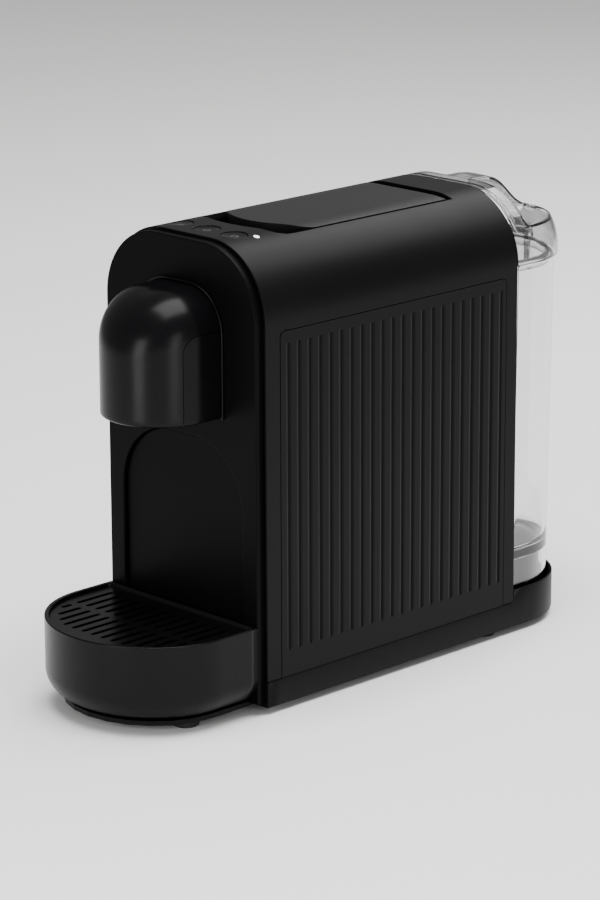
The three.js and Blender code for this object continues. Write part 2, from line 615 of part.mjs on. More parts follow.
function cheekRegion(side, margin) {
  const front = FASCIA_FRONT - CHEEK_REACH - margin;
  const top = CHEEK_TOP + margin;
  const outline = new THREE.Shape();
  outline.moveTo(front, 0);
  outline.lineTo(2, 0);
  outline.lineTo(2, top);
  outline.lineTo(front + CHEEK_RADIUS, top);
  outline.absarc(front + CHEEK_RADIUS, top - CHEEK_RADIUS, CHEEK_RADIUS, Math.PI / 2, Math.PI, false);
  return alongX(outline, sideSpan(side, HEAD_HALF - HEAD_WALL - 3 - margin, HEAD_HALF + 1));
}

const headShell = cut(headForm(0, HEAD_BOTTOM), headForm(HEAD_WALL, HEAD_BOTTOM + HEAD_WALL, 3),
  rod('z', 12, [HEAD_BOTTOM - 1, HEAD_BOTTOM + 5], [0, FASCIA_FRONT - 20]));
part('head_cover', BLACK_SATIN, cut(headShell, cheekRegion(-1, FIT), cheekRegion(1, FIT)));
part('head_cheek_right', BLACK_SATIN, common(headShell, cheekRegion(-1, 0)));
part('head_cheek_left', BLACK_SATIN, common(headShell, cheekRegion(1, 0)));

// Collar: a thin arch round the head, set against the fascia.
part('head_collar', BLACK_FASCIA, cut(
  alongY(archOutline(HEAD_HALF + FIT + COLLAR_WIDTH, HEAD_BOTTOM, HEAD_TOP + FIT + COLLAR_WIDTH,
    HEAD_RADIUS + FIT + COLLAR_WIDTH), [FASCIA_FRONT - 1.6, FASCIA_FRONT - 0.1]),
  alongY(archOutline(HEAD_HALF + FIT, HEAD_BOTTOM - 1, HEAD_TOP + FIT, HEAD_RADIUS + FIT),
    [FASCIA_FRONT - 3, 0])));

// Spout: a flanged nozzle that drops from the head's bottom.
const SPOUT_PLACE = [0, FASCIA_FRONT - 20];
const SPOUT_TOP = HEAD_BOTTOM + 20;
part('coffee_spout', BLACK_FASCIA, cut(
  join(rod('z', 11.6, [HEAD_BOTTOM + 0.6, HEAD_BOTTOM + 4], SPOUT_PLACE),
    rod('z', 5.5, [HEAD_BOTTOM - 1.2, SPOUT_TOP], SPOUT_PLACE, 12)),
  rod('z', 3.6, [HEAD_BOTTOM - 3, SPOUT_TOP + 1], SPOUT_PLACE, 12)));

// ---- Brew unit ----
// Frame: two side plates and a front wall that holds the outlet plate; open above and below.
function brewFrame() {
  const bottom = BREW_Z - PISTON_RADIUS - 1.4;
  const top = BREW_Z + PISTON_RADIUS + 0.2;
  const outer = block([-FRAME_HALF - FRAME_WALL, FRAME_HALF + FRAME_WALL], [OUTLET_Y - 5, FRAME_REAR],
    [bottom, top]);
  const room = block([-FRAME_HALF, FRAME_HALF], [OUTLET_Y, FRAME_REAR - 3], [bottom - 1, top + 1]);
  const window = block([-FRAME_HALF - 9, FRAME_HALF + 9], [PISTON_FRONT + 22, FRAME_REAR - 10],
    [BREW_Z - 12, BREW_Z + 12]);
  return cut(outer, room, window, rod('y', 6.4, [OUTLET_Y - 9, OUTLET_Y + 1], [0, BREW_Z]));
}
part('brew_frame', INNER_PLASTIC, brewFrame());

// Outlet plate: a disc with short piercing pins and a neck for the coffee channel.
function outletPlate() {
  const pins = [0, 1, 2, 3, 4, 5].map((i) => rod('y', 0.9, [OUTLET_Y + 2, OUTLET_Y + 5.5],
    [12 * Math.cos(i * Math.PI / 3), BREW_Z + 12 * Math.sin(i * Math.PI / 3)], 8));
  const body = join(rod('y', PISTON_RADIUS, [OUTLET_Y + 0.2, OUTLET_Y + 3], [0, BREW_Z], 12),
    rod('y', 6, [OUTLET_Y - 7, OUTLET_Y + 1], [0, BREW_Z], 12), ...pins);
  return cut(body, rod('y', 3.4, [OUTLET_Y - 9, OUTLET_Y + 9], [0, BREW_Z], 12));
}
part('outlet_plate', STEEL, outletPlate());
part('coffee_channel', SILICONE, hose([[0, OUTLET_Y - 7.3, BREW_Z], [0, 20, BREW_Z - 1], [0, -8, BREW_Z - 3],
  [0, FASCIA_FRONT - 17, BREW_Z - 9], [0, FASCIA_FRONT - 20, SPOUT_TOP + 8], [0, FASCIA_FRONT - 20,
    SPOUT_TOP + 0.3]], 4.6, 3.2));

// Piston: a disc that presses the capsule, guide ears, and a yoke tongue for the toggle links.
const PORT_X = -14;
function brewPiston() {
  const rear = PISTON_FRONT + PISTON_LENGTH;
  const disc = rod('y', PISTON_RADIUS, [PISTON_FRONT, rear], [0, BREW_Z], 12);
  const ears = block([-FRAME_HALF + 0.4, FRAME_HALF - 0.4], [PISTON_FRONT + 1, rear], [BREW_Z - 6,
    BREW_Z + 6]);
  const tongue = block([-5.5, 5.5], [rear - 1, BREW_Y], [BREW_Z - 6, BREW_Z + 6]);
  const boss = rod('x', 6, [-5.5, 5.5], [BREW_Y, BREW_Z], 12);
  const pin = rod('x', 2, [-6.2, 6.2], [BREW_Y, BREW_Z], 10);
  const port = rod('y', 3, [rear - 1, rear + 3], [PORT_X, BREW_Z - 8], 10);
  const groove = ring('y', PISTON_RADIUS + 1, PISTON_RADIUS - 1.8, [PISTON_FRONT + 2.2, PISTON_FRONT + 5],
    [0, BREW_Z], 12);
  const earGrooves = block([-FRAME_HALF, FRAME_HALF], [PISTON_FRONT - 1, PISTON_FRONT + 5.6], [BREW_Z - 7,
    BREW_Z + 7]);
  const body = join(disc, cut(ears, cut(earGrooves, rod('y', PISTON_RADIUS - 2, [0, rear], [0, BREW_Z],
    12))), tongue, boss, pin, port);
  return cut(body, groove, rod('y', 1.6, [PISTON_FRONT - 1, rear + 4], [PORT_X, BREW_Z - 8], 10));
}
part('brew_piston', INNER_PLASTIC, brewPiston());
part('piston_seal', SILICONE, ring('y', PISTON_RADIUS + 0.3, PISTON_RADIUS - 1.6,
  [PISTON_FRONT + 2.4, PISTON_FRONT + 4.8], [0, BREW_Z], 12));

// ---- Lever well: the deep recess in the top, with the capsule slot and the lever's bearings ----
const UNDER_SKIN = alongY(outerArch(SHELL_WALL + FIT, 0), [-1, BODY_DEPTH]);
const ARM_HALF = 6;
function leverWell() {
  const outer = common(alongZ(wellOutline(-WELL_WALL), [WELL_FLOOR - 2, SKIN_BOTTOM - FIT]), UNDER_SKIN);
  const pan = cut(outer, alongZ(wellOutline(0), [WELL_FLOOR, HEIGHT]));
  const capsuleSlot = alongZ(roundedRectangle([-20, 20], [52, 79.5], 5), [WELL_FLOOR - 5, WELL_FLOOR + 1]);
  const linkSlot = block([-14, 14], [112, 150], [WELL_FLOOR - 5, WELL_FLOOR + 1]);
  const bores = rod('x', PIVOT_RADIUS + 0.1, [-WELL_HALF - 9, WELL_HALF + 9], [PIVOT_Y, PIVOT_Z], 12);
  const shelf = block([-LEVER_HALF, LEVER_HALF], [2.5, WELL_FRONT + 2], [BOARD_Z - 3.5, BOARD_Z - FIT]);
  const brace = block([-20, 20], [WELL_FRONT - 6, WELL_FRONT + 2.2], [WELL_FLOOR - 2, BOARD_Z - FIT]);
  const braceTrim = alongZ(wellOutline(0), [WELL_FLOOR, HEIGHT]);
  return cut(join(pan, cut(join(shelf, brace), braceTrim)), capsuleSlot, linkSlot, bores);
}
const BOARD_Z = SKIN_BOTTOM - 9.4;
part('lever_well', BLACK_FASCIA, leverWell());

// ---- Lever: a plate that follows the top's curve, side flanges, a hub and one arm down to the knee ----
const knee = (() => {
  const down = Math.atan2(PIVOT_Z - BREW_Z, PIVOT_Y - BREW_Y);
  return [PIVOT_Y - KNEE_RADIUS * Math.cos(down), PIVOT_Z - KNEE_RADIUS * Math.sin(down)];
})();

function leverOutline(inset) {
  const half = LEVER_HALF - inset;
  const reach = Math.asin(half / LEVER_NOSE_RADIUS);
  const centre = LEVER_NOSE + LEVER_NOSE_RADIUS;
  const nose = LEVER_NOSE_RADIUS - inset;
  const shape = new THREE.Shape();
  shape.moveTo(half, LEVER_TAIL - inset);
  shape.lineTo(-half, LEVER_TAIL - inset);
  shape.absarc(0, centre, nose, 1.5 * Math.PI - reach, 1.5 * Math.PI + reach, false);
  return shape;
}

function lever() {
  const slab = alongZ(leverOutline(0), [HEIGHT - LEVER_THICKNESS - LEVER_FLANGE, HEIGHT]);
  const tail = join(block([-HALF, HALF], [0, PIVOT_Y], [0, HEIGHT + 1]),
    rod('x', LEVER_TAIL_RADIUS, [-HALF, HALF], [PIVOT_Y, PIVOT_Z], 24));
  const plate = common(slab, alongY(outerArch(0, 0), [0, BODY_DEPTH]), tail);
  const hollow = common(alongZ(leverOutline(2), [HEIGHT - 40, HEIGHT - LEVER_THICKNESS]),
    alongY(outerArch(LEVER_THICKNESS, 0), [0, BODY_DEPTH]));
  const hub = rod('x', PIVOT_RADIUS + 2.6, [FIT - LEVER_HALF, LEVER_HALF - FIT], [PIVOT_Y, PIVOT_Z], 12);
  const webs = [-1, 1].map((side) => block(sideSpan(side, LEVER_HALF - 9, LEVER_HALF - 1),
    [PIVOT_Y - 4, PIVOT_Y + 4], [PIVOT_Z, HEIGHT - LEVER_THICKNESS + 0.5]));
  const arm = common(block([-ARM_HALF, ARM_HALF], [knee[0] - 5, PIVOT_Y + 3], [knee[1] - 5,
    HEIGHT - LEVER_THICKNESS + 0.5]),
    join(rod('x', 5, [-ARM_HALF, ARM_HALF], knee, 12), block([-ARM_HALF, ARM_HALF], [knee[0] - 4,
      PIVOT_Y + 3], [knee[1] + 1, HEIGHT])));
  const body = join(cut(plate, hollow), hub, ...webs, arm);
  return cut(body, rod('x', PIVOT_RADIUS + 0.1, [-HALF, HALF], [PIVOT_Y, PIVOT_Z], 12),
    rod('x', PIVOT_RADIUS + 0.1, [-HALF, HALF], knee, 12));
}
part('lever', GREY_LEVER, lever());
part('lever_pivot_pin', STEEL, rod('x', PIVOT_RADIUS, [-WELL_HALF - WELL_WALL, WELL_HALF + WELL_WALL],
  [PIVOT_Y, PIVOT_Z], 12));
part('knee_pin', STEEL, rod('x', PIVOT_RADIUS, [-LINK_INNER - LINK_WIDTH, LINK_INNER + LINK_WIDTH], knee,
  12));

// Toggle link: two bars beside the lever's arm and the piston's tongue, joined by one cross-bar.
function toggleLink() {
  const length = Math.hypot(knee[0] - BREW_Y, knee[1] - BREW_Z);
  const bars = [-1, 1].map((side) => {
    const x = sideSpan(side, LINK_INNER, LINK_INNER + LINK_WIDTH);
    const bar = join(block(x, [0, length], [-3.5, 3.5]), rod('x', 5, x, [0, 0], 12), rod('x', 5, x,
      [length, 0], 12));
    return cut(bar, rod('x', PIVOT_RADIUS + 0.3, [x[0] - 1, x[1] + 1], [0, 0], 12),
      rod('x', PIVOT_RADIUS + 0.1, [x[0] - 1, x[1] + 1], [length, 0], 12));
  });
  const crossBar = rod('x', 2.4, [-LINK_INNER - 1, LINK_INNER + 1], [length * 0.5, 0], 10);
  return join(...bars, crossBar);
}
const link = part('toggle_link', STEEL, toggleLink(), [0, BREW_Y, BREW_Z]);
link.rotation.x = Math.atan2(knee[1] - BREW_Z, knee[0] - BREW_Y);

// ---- Buttons, lamp and control board under the top ----
function button(x) {
  const cap = rod('z', BUTTON_RADIUS, [BUTTON_BOTTOM, HEIGHT], [0, 0], 20);
  const flange = rod('z', BUTTON_RADIUS + 1.2, [BUTTON_BOTTOM, BUTTON_BOTTOM + BUTTON_FLANGE], [0, 0], 20);
  const dish = new THREE.SphereGeometry(24, 16, 30).translate(0, 0, HEIGHT + 22.8);
  const underTop = alongY(outerArch(0.2, 0), [-BUTTON_Y, BUTTON_Y]).translate(-x, 0, 0);
  return cut(common(join(cap, flange), underTop), dish);
}
['button_right', 'button_middle', 'button_left'].forEach((name, i) =>
  part(name, BLACK_SATIN, button(BUTTON_XS[i]), [BUTTON_XS[i], BUTTON_Y, 0]));

const BOARD_TOP = BOARD_Z + 1.6;
const MAT_TOP = BUTTON_BOTTOM - BUTTON_TRAVEL - FIT;
part('control_board', BOARD_GREEN, join(
  block([-LEVER_HALF + 1, LEVER_HALF - 1], [3, WELL_FRONT - 5], [BOARD_Z, BOARD_TOP]),
  block([-12, -4], [4, 9], [BOARD_TOP - 0.1, BOARD_TOP + 1.4]),
  block([LIGHT_X - 2.5, LIGHT_X + 1.5], [LIGHT_Y - 2, LIGHT_Y + 2], [BOARD_TOP - 0.1, BOARD_TOP + 1])));
part('button_mat', SILICONE, join(
  block([-BUTTON_PITCH - 6, BUTTON_PITCH + 6], [BUTTON_Y - 4.5, BUTTON_Y + 5.5], [BOARD_TOP + 1.7,
    BOARD_TOP + 2.7]),
  ...BUTTON_XS.map((x) => rod('z', 3.4, [BOARD_TOP + FIT, MAT_TOP], [x, BUTTON_Y + 0.5], 12))));
part('status_light', LAMP_WHITE, join(
  rod('z', LIGHT_RADIUS, [BOARD_TOP + 1.4, HEIGHT - 1.2], [LIGHT_X, LIGHT_Y], 12)));

// ---- Water tank, lid, hinge pin, valve and filter ----
// Each level's outline keeps the same number of points, so the walls lean in towards the bottom.
function leaningForm(inset, bottom, top) {
  const form = alongZ(rearOutline(TANK_HALF - inset, TANK_FRONT + inset, TANK_REAR - inset,
    TANK_RADIUS - inset), [bottom, top]);
  const points = form.attributes.position;
  for (let i = 0; i < points.count; i += 1) {
    const share = 1 - (points.getZ(i) - TANK_SKIRT_BOTTOM) / (TANK_SEAM - TANK_SKIRT_BOTTOM);
    const lean = TANK_TAPER * Math.max(0, share);
    points.setX(i, points.getX(i) * (1 - lean / TANK_HALF));
    points.setY(i, TANK_FRONT + (points.getY(i) - TANK_FRONT) * (1 - lean / TANK_DEPTH));
  }
  return form;
}

const EAR_Y = REAR - 3;
const HINGE_Z = TANK_SEAM + 4.2;
const VALVE_HOLE = VALVE_RADIUS;
function waterTank() {
  const floorBottom = PEDESTAL_TOP + FIT;
  const notch = block([-BRIDGE_HALF - LOOSE_FIT, BRIDGE_HALF + LOOSE_FIT], [TANK_FRONT - 1,
    TANK_FRONT + 14], [0, floorBottom]);
  let tank = cut(leaningForm(0, TANK_SKIRT_BOTTOM, TANK_SEAM - FIT), leaningForm(TANK_WALL, TANK_FLOOR_TOP,
    TANK_SEAM + 1),
    leaningForm(TANK_WALL, TANK_SKIRT_BOTTOM - 1, floorBottom), notch);
  const collar = rod('z', VALVE_RADIUS + 2, [PEDESTAL_TOP - 6, TANK_FLOOR_TOP - 1], VALVE_PLACE);
  tank = cut(join(tank, collar), rod('z', VALVE_HOLE, [0, TANK_FLOOR_TOP + 1], VALVE_PLACE));
  const [x, y] = VALVE_PLACE;
  const spokes = join(block([x - 7, x + 7], [y - 0.8, y + 0.8], [TANK_FLOOR_TOP - 1.6, TANK_FLOOR_TOP]),
    block([x - 0.8, x + 0.8], [y - 7, y + 7], [TANK_FLOOR_TOP - 1.6, TANK_FLOOR_TOP]),
    rod('z', 3.2, [TANK_FLOOR_TOP - 1.6, TANK_FLOOR_TOP], VALVE_PLACE, 12));
  tank = cut(join(tank, spokes), rod('z', 2, [0, TANK_FLOOR_TOP + 1], VALVE_PLACE, 10));
  const ears = [-14, 14].map((at) => join(
    block([at - 1.5, at + 1.5], [EAR_Y - 3, EAR_Y + 2.6], [TANK_SEAM - 12, HINGE_Z]),
    rod('x', 3, [at - 1.5, at + 1.5], [EAR_Y, HINGE_Z])));
  return cut(join(tank, ...ears), rod('x', 1.6, [-20, 20], [EAR_Y, HINGE_Z], 10));
}
part('water_tank', CLEAR_TANK, waterTank());

// Lid: the housing's arch carried on to the rear, with two finger scoops and a bar between them.
function tankLid() {
  const front = TANK_FRONT;
  const arch = alongY(outerArch(), [front, REAR]);
  const plan = alongZ(rearOutline(HALF, front, REAR, REAR_RADIUS), [TANK_SEAM, HEIGHT + 1]);
  const brow = new THREE.Shape();
  brow.moveTo(front, TANK_SEAM);
  brow.lineTo(REAR, TANK_SEAM);
  brow.absarc(REAR - LID_REAR_RADIUS, HEIGHT - LID_REAR_RADIUS, LID_REAR_RADIUS, 0, Math.PI / 2, false);
  brow.lineTo(front, HEIGHT);
  const form = common(arch, plan, alongX(brow, [-HALF, HALF]));
  const inner = common(
    alongY(archOutline(HALF - LID_WALL, 0, HEIGHT - LID_WALL, CORNER_RADIUS - LID_WALL), [front + LID_WALL,
      REAR]),
    alongZ(rearOutline(HALF - LID_WALL, front + LID_WALL, REAR - LID_WALL, REAR_RADIUS - LID_WALL),
      [TANK_SEAM - 1, SCOOP_BOTTOM - LID_WALL]));
  const barRoom = block([LID_WALL - BAR_HALF, BAR_HALF - LID_WALL], [front + LID_WALL, REAR - 18],
    [SCOOP_BOTTOM - 5, HEIGHT - LID_WALL - 3]);
  const frontRoom = common(
    alongY(archOutline(HALF - LID_WALL, 0, HEIGHT - LID_WALL, CORNER_RADIUS - LID_WALL), [front + LID_WALL,
      front + SCOOP_FRONT - LID_WALL]),
    block([-HALF, HALF], [front, REAR], [TANK_SEAM - 1, HEIGHT]));
  const scoops = [-1, 1].map((side) => {
    const outline = roundedRectangle([front + SCOOP_FRONT, REAR + 30], [SCOOP_BOTTOM, HEIGHT + 30], 7);
    return alongX(outline, sideSpan(side, BAR_HALF, HALF + 5));
  });
  let lid = cut(form, inner, barRoom, frontRoom, ...scoops);
  const lipInset = TANK_WALL + 0.5;
  const lip = cut(
    alongZ(rearOutline(TANK_HALF - lipInset, TANK_FRONT + lipInset, TANK_REAR - 12, TANK_RADIUS - 12),
      [TANK_SEAM - 3, TANK_SEAM + 2]),
    alongZ(rearOutline(TANK_HALF - lipInset - 1.6, TANK_FRONT + lipInset + 1.6, TANK_REAR - 13.6,
      TANK_RADIUS - 13.6),
      [TANK_SEAM - 4, TANK_SEAM + 4]),
    block([-HALF, HALF], [TANK_REAR - 26, REAR], [0, HEIGHT]));
  const shelf = cut(
    alongZ(rearOutline(HALF - 0.5, TANK_FRONT + 0.5, REAR - 0.5, REAR_RADIUS - 0.5), [TANK_SEAM,
      TANK_SEAM + 1.6]),
    alongZ(rearOutline(TANK_HALF - lipInset - 1.6, TANK_FRONT + lipInset + 1.6, TANK_REAR - 6,
      TANK_RADIUS - 6),
      [TANK_SEAM - 1, TANK_SEAM + 3]));
  lid = join(lid, shelf, lip);
  const earRooms = [-14, 14].map((at) => block([at - 2.2, at + 2.2], [EAR_Y - 5, REAR + 1], [TANK_SEAM - 1,
    HINGE_Z + 5.5]));
  const relief = block([-HALF, HALF], [EAR_Y - 0.5, REAR + 1], [TANK_SEAM - 1, HINGE_Z - 1]);
  const clearance = rod('x', 3.8, [-12, 12], [EAR_Y, HINGE_Z]);
  const knuckle = join(rod('x', 2.8, [-11.4, 11.4], [EAR_Y, HINGE_Z]),
    block([-11.4, 11.4], [EAR_Y - 2.4, EAR_Y + 1.4], [HINGE_Z, HINGE_Z + 6]));
  return cut(join(cut(lid, relief, clearance, ...earRooms), knuckle), rod('x', 1.6, [-20, 20], [EAR_Y,
    HINGE_Z], 10));
}
part('tank_lid', SMOKED_LID, tankLid());
part('lid_hinge_pin', STEEL, rod('x', 1.5, [-15.4, 15.4], [EAR_Y, HINGE_Z], 10));

// Socket in the pedestal: a cup for the tank's collar, a post that lifts the valve and a side nipple.
const SOCKET_FLOOR = HOSE_Z + 4;
part('tank_socket', WHITE_PLASTIC, cut(
  join(
    ring('z', 12, VALVE_RADIUS + 3, [SOCKET_FLOOR, PEDESTAL_TOP], VALVE_PLACE),
    rod('z', 12, [SOCKET_FLOOR - 2, SOCKET_FLOOR + 0.1], VALVE_PLACE),
    rod('z', 6, [HOSE_Z - 4, SOCKET_FLOOR], VALVE_PLACE, 12),
    rod('y', 3.4, [VALVE_PLACE[1] - 14, VALVE_PLACE[1]], [0, HOSE_Z], 12),
    rod('z', 1.4, [SOCKET_FLOOR - 1, SOCKET_FLOOR + 5], VALVE_PLACE, 10)),
  rod('y', 1.8, [VALVE_PLACE[1] - 16, VALVE_PLACE[1] - 2], [0, HOSE_Z], 10),
  rod('z', 1.2, [HOSE_Z, SOCKET_FLOOR + 1], [0, VALVE_PLACE[1] - 3.4], 10)));

const STEM_BOTTOM = SOCKET_FLOOR + 5 + 0.3;
const SEAT_GAP = VALVE_TRAVEL + FIT;
part('tank_valve', WHITE_PLASTIC, join(
  rod('z', 1.6, [STEM_BOTTOM, TANK_FLOOR_TOP + SEAT_GAP + 4], VALVE_PLACE, 12),
  rod('z', 4.4, [STEM_BOTTOM, STEM_BOTTOM + 1], VALVE_PLACE, 12),
  rod('z', VALVE_RADIUS + 1.6, [TANK_FLOOR_TOP + SEAT_GAP + 1.7, TANK_FLOOR_TOP + SEAT_GAP + 3.4],
    VALVE_PLACE)));
part('valve_seal', SILICONE, ring('z', VALVE_RADIUS + 1.2, 1.9,
  [TANK_FLOOR_TOP + SEAT_GAP, TANK_FLOOR_TOP + SEAT_GAP + 1.4], VALVE_PLACE));

function coil(radius, wire, turns, [z0, z1]) {
  const points = [];
  const steps = turns * 10;
  for (let i = 0; i <= steps; i += 1) {
    const turn = (2 * Math.PI * i) / 10;
    points.push(new THREE.Vector3(radius * Math.cos(turn), radius * Math.sin(turn),
      z0 + ((z1 - z0) * i) / steps));
  }
  const section = new THREE.Shape();
  section.absarc(0, 0, wire, 0, 2 * Math.PI, false);
  return new THREE.ExtrudeGeometry(section, {
    steps, extrudePath: new THREE.CatmullRomCurve3(points), curveSegments: 3, bevelEnabled: false });
}
part('valve_spring', STEEL, coil(3.2, 0.35, 3, [STEM_BOTTOM + 1.5, TANK_FLOOR_TOP - 2.2]), [...VALVE_PLACE,
  0]);

// Filter: an upturned cup over the valve, with windows in its wall.
function tankFilter() {
  const [x, y] = VALVE_PLACE;
  const profile = [[0, 14.4], [8.4, 14.4], [11.4, 11.4], [11.4, 0], [13, 0], [13, 12], [9, 16], [0, 16]]
    .map(([r, z]) => new THREE.Vector2(r, z + TANK_FLOOR_TOP + 0.2));
  const cup = new THREE.LatheGeometry(profile, 16).rotateX(Math.PI / 2).translate(x, y, 0);
  const windows = [0, 1, 2, 3, 4, 5].map((i) => block([8, 16], [-2.4, 2.4], [2, 10])
    .rotateZ((i * Math.PI) / 3).translate(x, y, TANK_FLOOR_TOP));
  return cut(cup, ...windows);
}
part('tank_filter', WHITE_PLASTIC, tankFilter());

// ---- Water path inside the housing: flow meter, pump and heater, joined by hoses ----
const METER = [-11, 158];
part('flow_meter', WHITE_PLASTIC, join(
  rod('z', 13, [HOSE_Z - 7, HOSE_Z + 7], METER),
  rod('z', 8, [HOSE_Z + 6, HOSE_Z + 10], METER, 12),
  rod('y', 3.2, [METER[1] + 10, METER[1] + 19], [METER[0], HOSE_Z], 10),
  rod('y', 3.2, [METER[1] - 19, METER[1] - 10], [METER[0], HOSE_Z], 10)));

const ARM_LOW = 41;
const ARM_HIGH = 141;
const ARM_PLATE = 2;
function pumpBracket() {
  const [x, y] = PUMP;
  const back = y + 24;
  const front = y - 16;
  const bottom = FLOOR_TOP + FIT;
  const outline = new THREE.Shape([
    [y + 6, bottom], [back, bottom], [back, ARM_HIGH + ARM_PLATE], [front, ARM_HIGH + ARM_PLATE], [front,
      ARM_HIGH],
    [back - ARM_PLATE, ARM_HIGH], [back - ARM_PLATE, ARM_LOW + ARM_PLATE], [front,
      ARM_LOW + ARM_PLATE], [front, ARM_LOW],
    [back - ARM_PLATE, ARM_LOW], [back - ARM_PLATE, bottom + ARM_PLATE], [y + 6, bottom + ARM_PLATE],
  ].map(([u, v]) => new THREE.Vector2(u, v)));
  return cut(alongX(outline, [x - 18, x + 18]), rod('z', 6, [ARM_LOW - 2, ARM_HIGH + 4], PUMP));
}
part('pump_bracket', STEEL, pumpBracket());

function pumpBody() {
  const profile = [[0, 34], [3.2, 34], [3.2, 43.4], [10, 46], [10, 132], [5, 138], [3.2, 139], [3.2, 150],
    [0, 150]]
    .map(([r, z]) => new THREE.Vector2(r, z));
  return new THREE.LatheGeometry(profile, 16).rotateX(Math.PI / 2);
}
part('pump_body', BRASS, pumpBody(), [...PUMP, 0]);
part('pump_coil', INNER_PLASTIC, cut(join(block([-17, 17], [-17, 17], [64, 108]), block([-20, 20], [-11,
  11], [68, 104]),
  block([-6, 6], [-21, -16], [78, 94])), rod('z', 10.3, [60, 112], [0, 0], 24)), [...PUMP, 0]);
part('pump_mount_lower', RUBBER, ring('z', 15, 10.4, [ARM_LOW + ARM_PLATE + FIT, 62], PUMP));
part('pump_mount_upper', RUBBER, ring('z', 15, 10.4, [112, ARM_HIGH - FIT], PUMP));

// Heater: a cast block with cooling ribs and two ports on top.
const HEAT_IN = [BLOCK_X[1] - 7, BLOCK_Y[1] - 14];
const HEAT_OUT = [BLOCK_X[0] + 8, BLOCK_Y[0] + 14];
function heater() {
  const ribs = [0, 1, 2, 3, 4].map((i) => block([BLOCK_X[0], BLOCK_X[1]], [BLOCK_Y[0], BLOCK_Y[1]],
    [BLOCK_Z[0] + i * 18, BLOCK_Z[0] + i * 18 + 6]));
  const core = block([BLOCK_X[0] + 4, BLOCK_X[1] - 4], [BLOCK_Y[0] + 4, BLOCK_Y[1] - 4], BLOCK_Z);
  const ports = [HEAT_IN, HEAT_OUT].map((place) => rod('z', 3.2, [BLOCK_Z[1] - 1, BLOCK_Z[1] + 9], place,
    10));
  return join(core, ...ribs, ...ports);
}
part('heater_block', ALUMINIUM, heater());
part('thermostat', STEEL, join(
  rod('z', 8, [BLOCK_Z[1] + FIT, BLOCK_Z[1] + 5], [middle(BLOCK_X), middle(BLOCK_Y)], 12),
  block([middle(BLOCK_X) - 11, middle(BLOCK_X) + 11], [middle(BLOCK_Y) - 3, middle(BLOCK_Y) + 3],
    [BLOCK_Z[1] + FIT, BLOCK_Z[1] + 1.5])));

const nippleEnd = VALVE_PLACE[1] - 14.3;
const meterEnd = METER[1] + 19.3;
part('suction_hose', SILICONE, hose([[0, nippleEnd, HOSE_Z], [0, nippleEnd - 5, HOSE_Z],
  [METER[0], meterEnd + 4, HOSE_Z], [METER[0], meterEnd, HOSE_Z]], 3.2, 1.8, 10));
part('pump_hose', SILICONE, hose([[METER[0], METER[1] - 19.8, HOSE_Z], [METER[0], METER[1] - 24, HOSE_Z],
  [METER[0] + 6, 118, 20], [8, 112, 16], [PUMP[0] - 4, 117, 14], [PUMP[0], PUMP[1] - 2, 20], [...PUMP,
    28], [...PUMP, 33.2]]));
part('pressure_hose', SILICONE, hose([[...PUMP, 150.8], [...PUMP, 156], [PUMP[0] - 14, PUMP[1] + 8, 164],
  [HEAT_IN[0] + 12, HEAT_IN[1] - 2, 163], [...HEAT_IN, 155], [...HEAT_IN, BLOCK_Z[1] + 9.8]]));
part('brew_hose', SILICONE, hose([[...HEAT_OUT, BLOCK_Z[1] + 9.8], [...HEAT_OUT, BLOCK_Z[1] + 14],
  [HEAT_OUT[0] + 12, HEAT_OUT[1], 163], [PORT_X - 2, 110, 172], [PORT_X, 104, BREW_Z - 12],
  [PORT_X, 98, BREW_Z - 8], [PORT_X, PISTON_FRONT + PISTON_LENGTH + 3.3, BREW_Z - 8]]));

// Power board on the right wall, with a relay, a capacitor and terminals.
part('power_board', BOARD_GREEN, join(
  block([BOARD_X, BOARD_X + 1.6], [96, 166], [POWER_BOARD_BOTTOM, 56]),
  block([BOARD_X + 1.5, BOARD_X + 10], [100, 114], [26, 44]),
  rod('x', 5, [BOARD_X + 1.5, BOARD_X + 10], [126, 38], 12),
  block([BOARD_X + 1.5, BOARD_X + 9], [138, 160], [22, 30])));

// Cord gland: a flanged bush in the base's right wall.
part('cord_gland', RUBBER, cut(
  join(rod('x', GLAND_RADIUS, [0.3, 12], [0, 0]), rod('x', GLAND_RADIUS + 0.6, [BASE_WALL + FIT,
    BASE_WALL + 2.4], [0, 0])),
  rod('x', 2.6, [-1, 14], [0, 0], 10)), [-HALF, ...GLAND_PLACE]);

export default machine;
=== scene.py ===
"""A slim pod coffee machine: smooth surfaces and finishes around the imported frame.

Lengths are millimetres measured from the housing's front edge, until put() turns them into the frame.
"""
import math
import bmesh
import bpy
import numpy as np
from mathutils import Matrix, Vector


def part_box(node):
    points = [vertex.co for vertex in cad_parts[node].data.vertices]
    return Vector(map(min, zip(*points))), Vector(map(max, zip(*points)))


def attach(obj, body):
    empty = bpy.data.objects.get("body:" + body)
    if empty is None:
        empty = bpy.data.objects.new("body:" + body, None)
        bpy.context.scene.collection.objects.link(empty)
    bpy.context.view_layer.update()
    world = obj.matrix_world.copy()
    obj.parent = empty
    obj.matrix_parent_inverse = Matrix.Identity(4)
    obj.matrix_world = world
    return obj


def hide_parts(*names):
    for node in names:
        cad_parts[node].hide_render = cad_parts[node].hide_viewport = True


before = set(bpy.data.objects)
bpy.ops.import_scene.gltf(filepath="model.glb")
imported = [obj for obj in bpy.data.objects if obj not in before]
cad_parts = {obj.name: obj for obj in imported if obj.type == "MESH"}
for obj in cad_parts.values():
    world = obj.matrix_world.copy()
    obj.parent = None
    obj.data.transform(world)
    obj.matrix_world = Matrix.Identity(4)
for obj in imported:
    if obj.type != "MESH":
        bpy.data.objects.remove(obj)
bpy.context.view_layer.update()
MM = 0.001


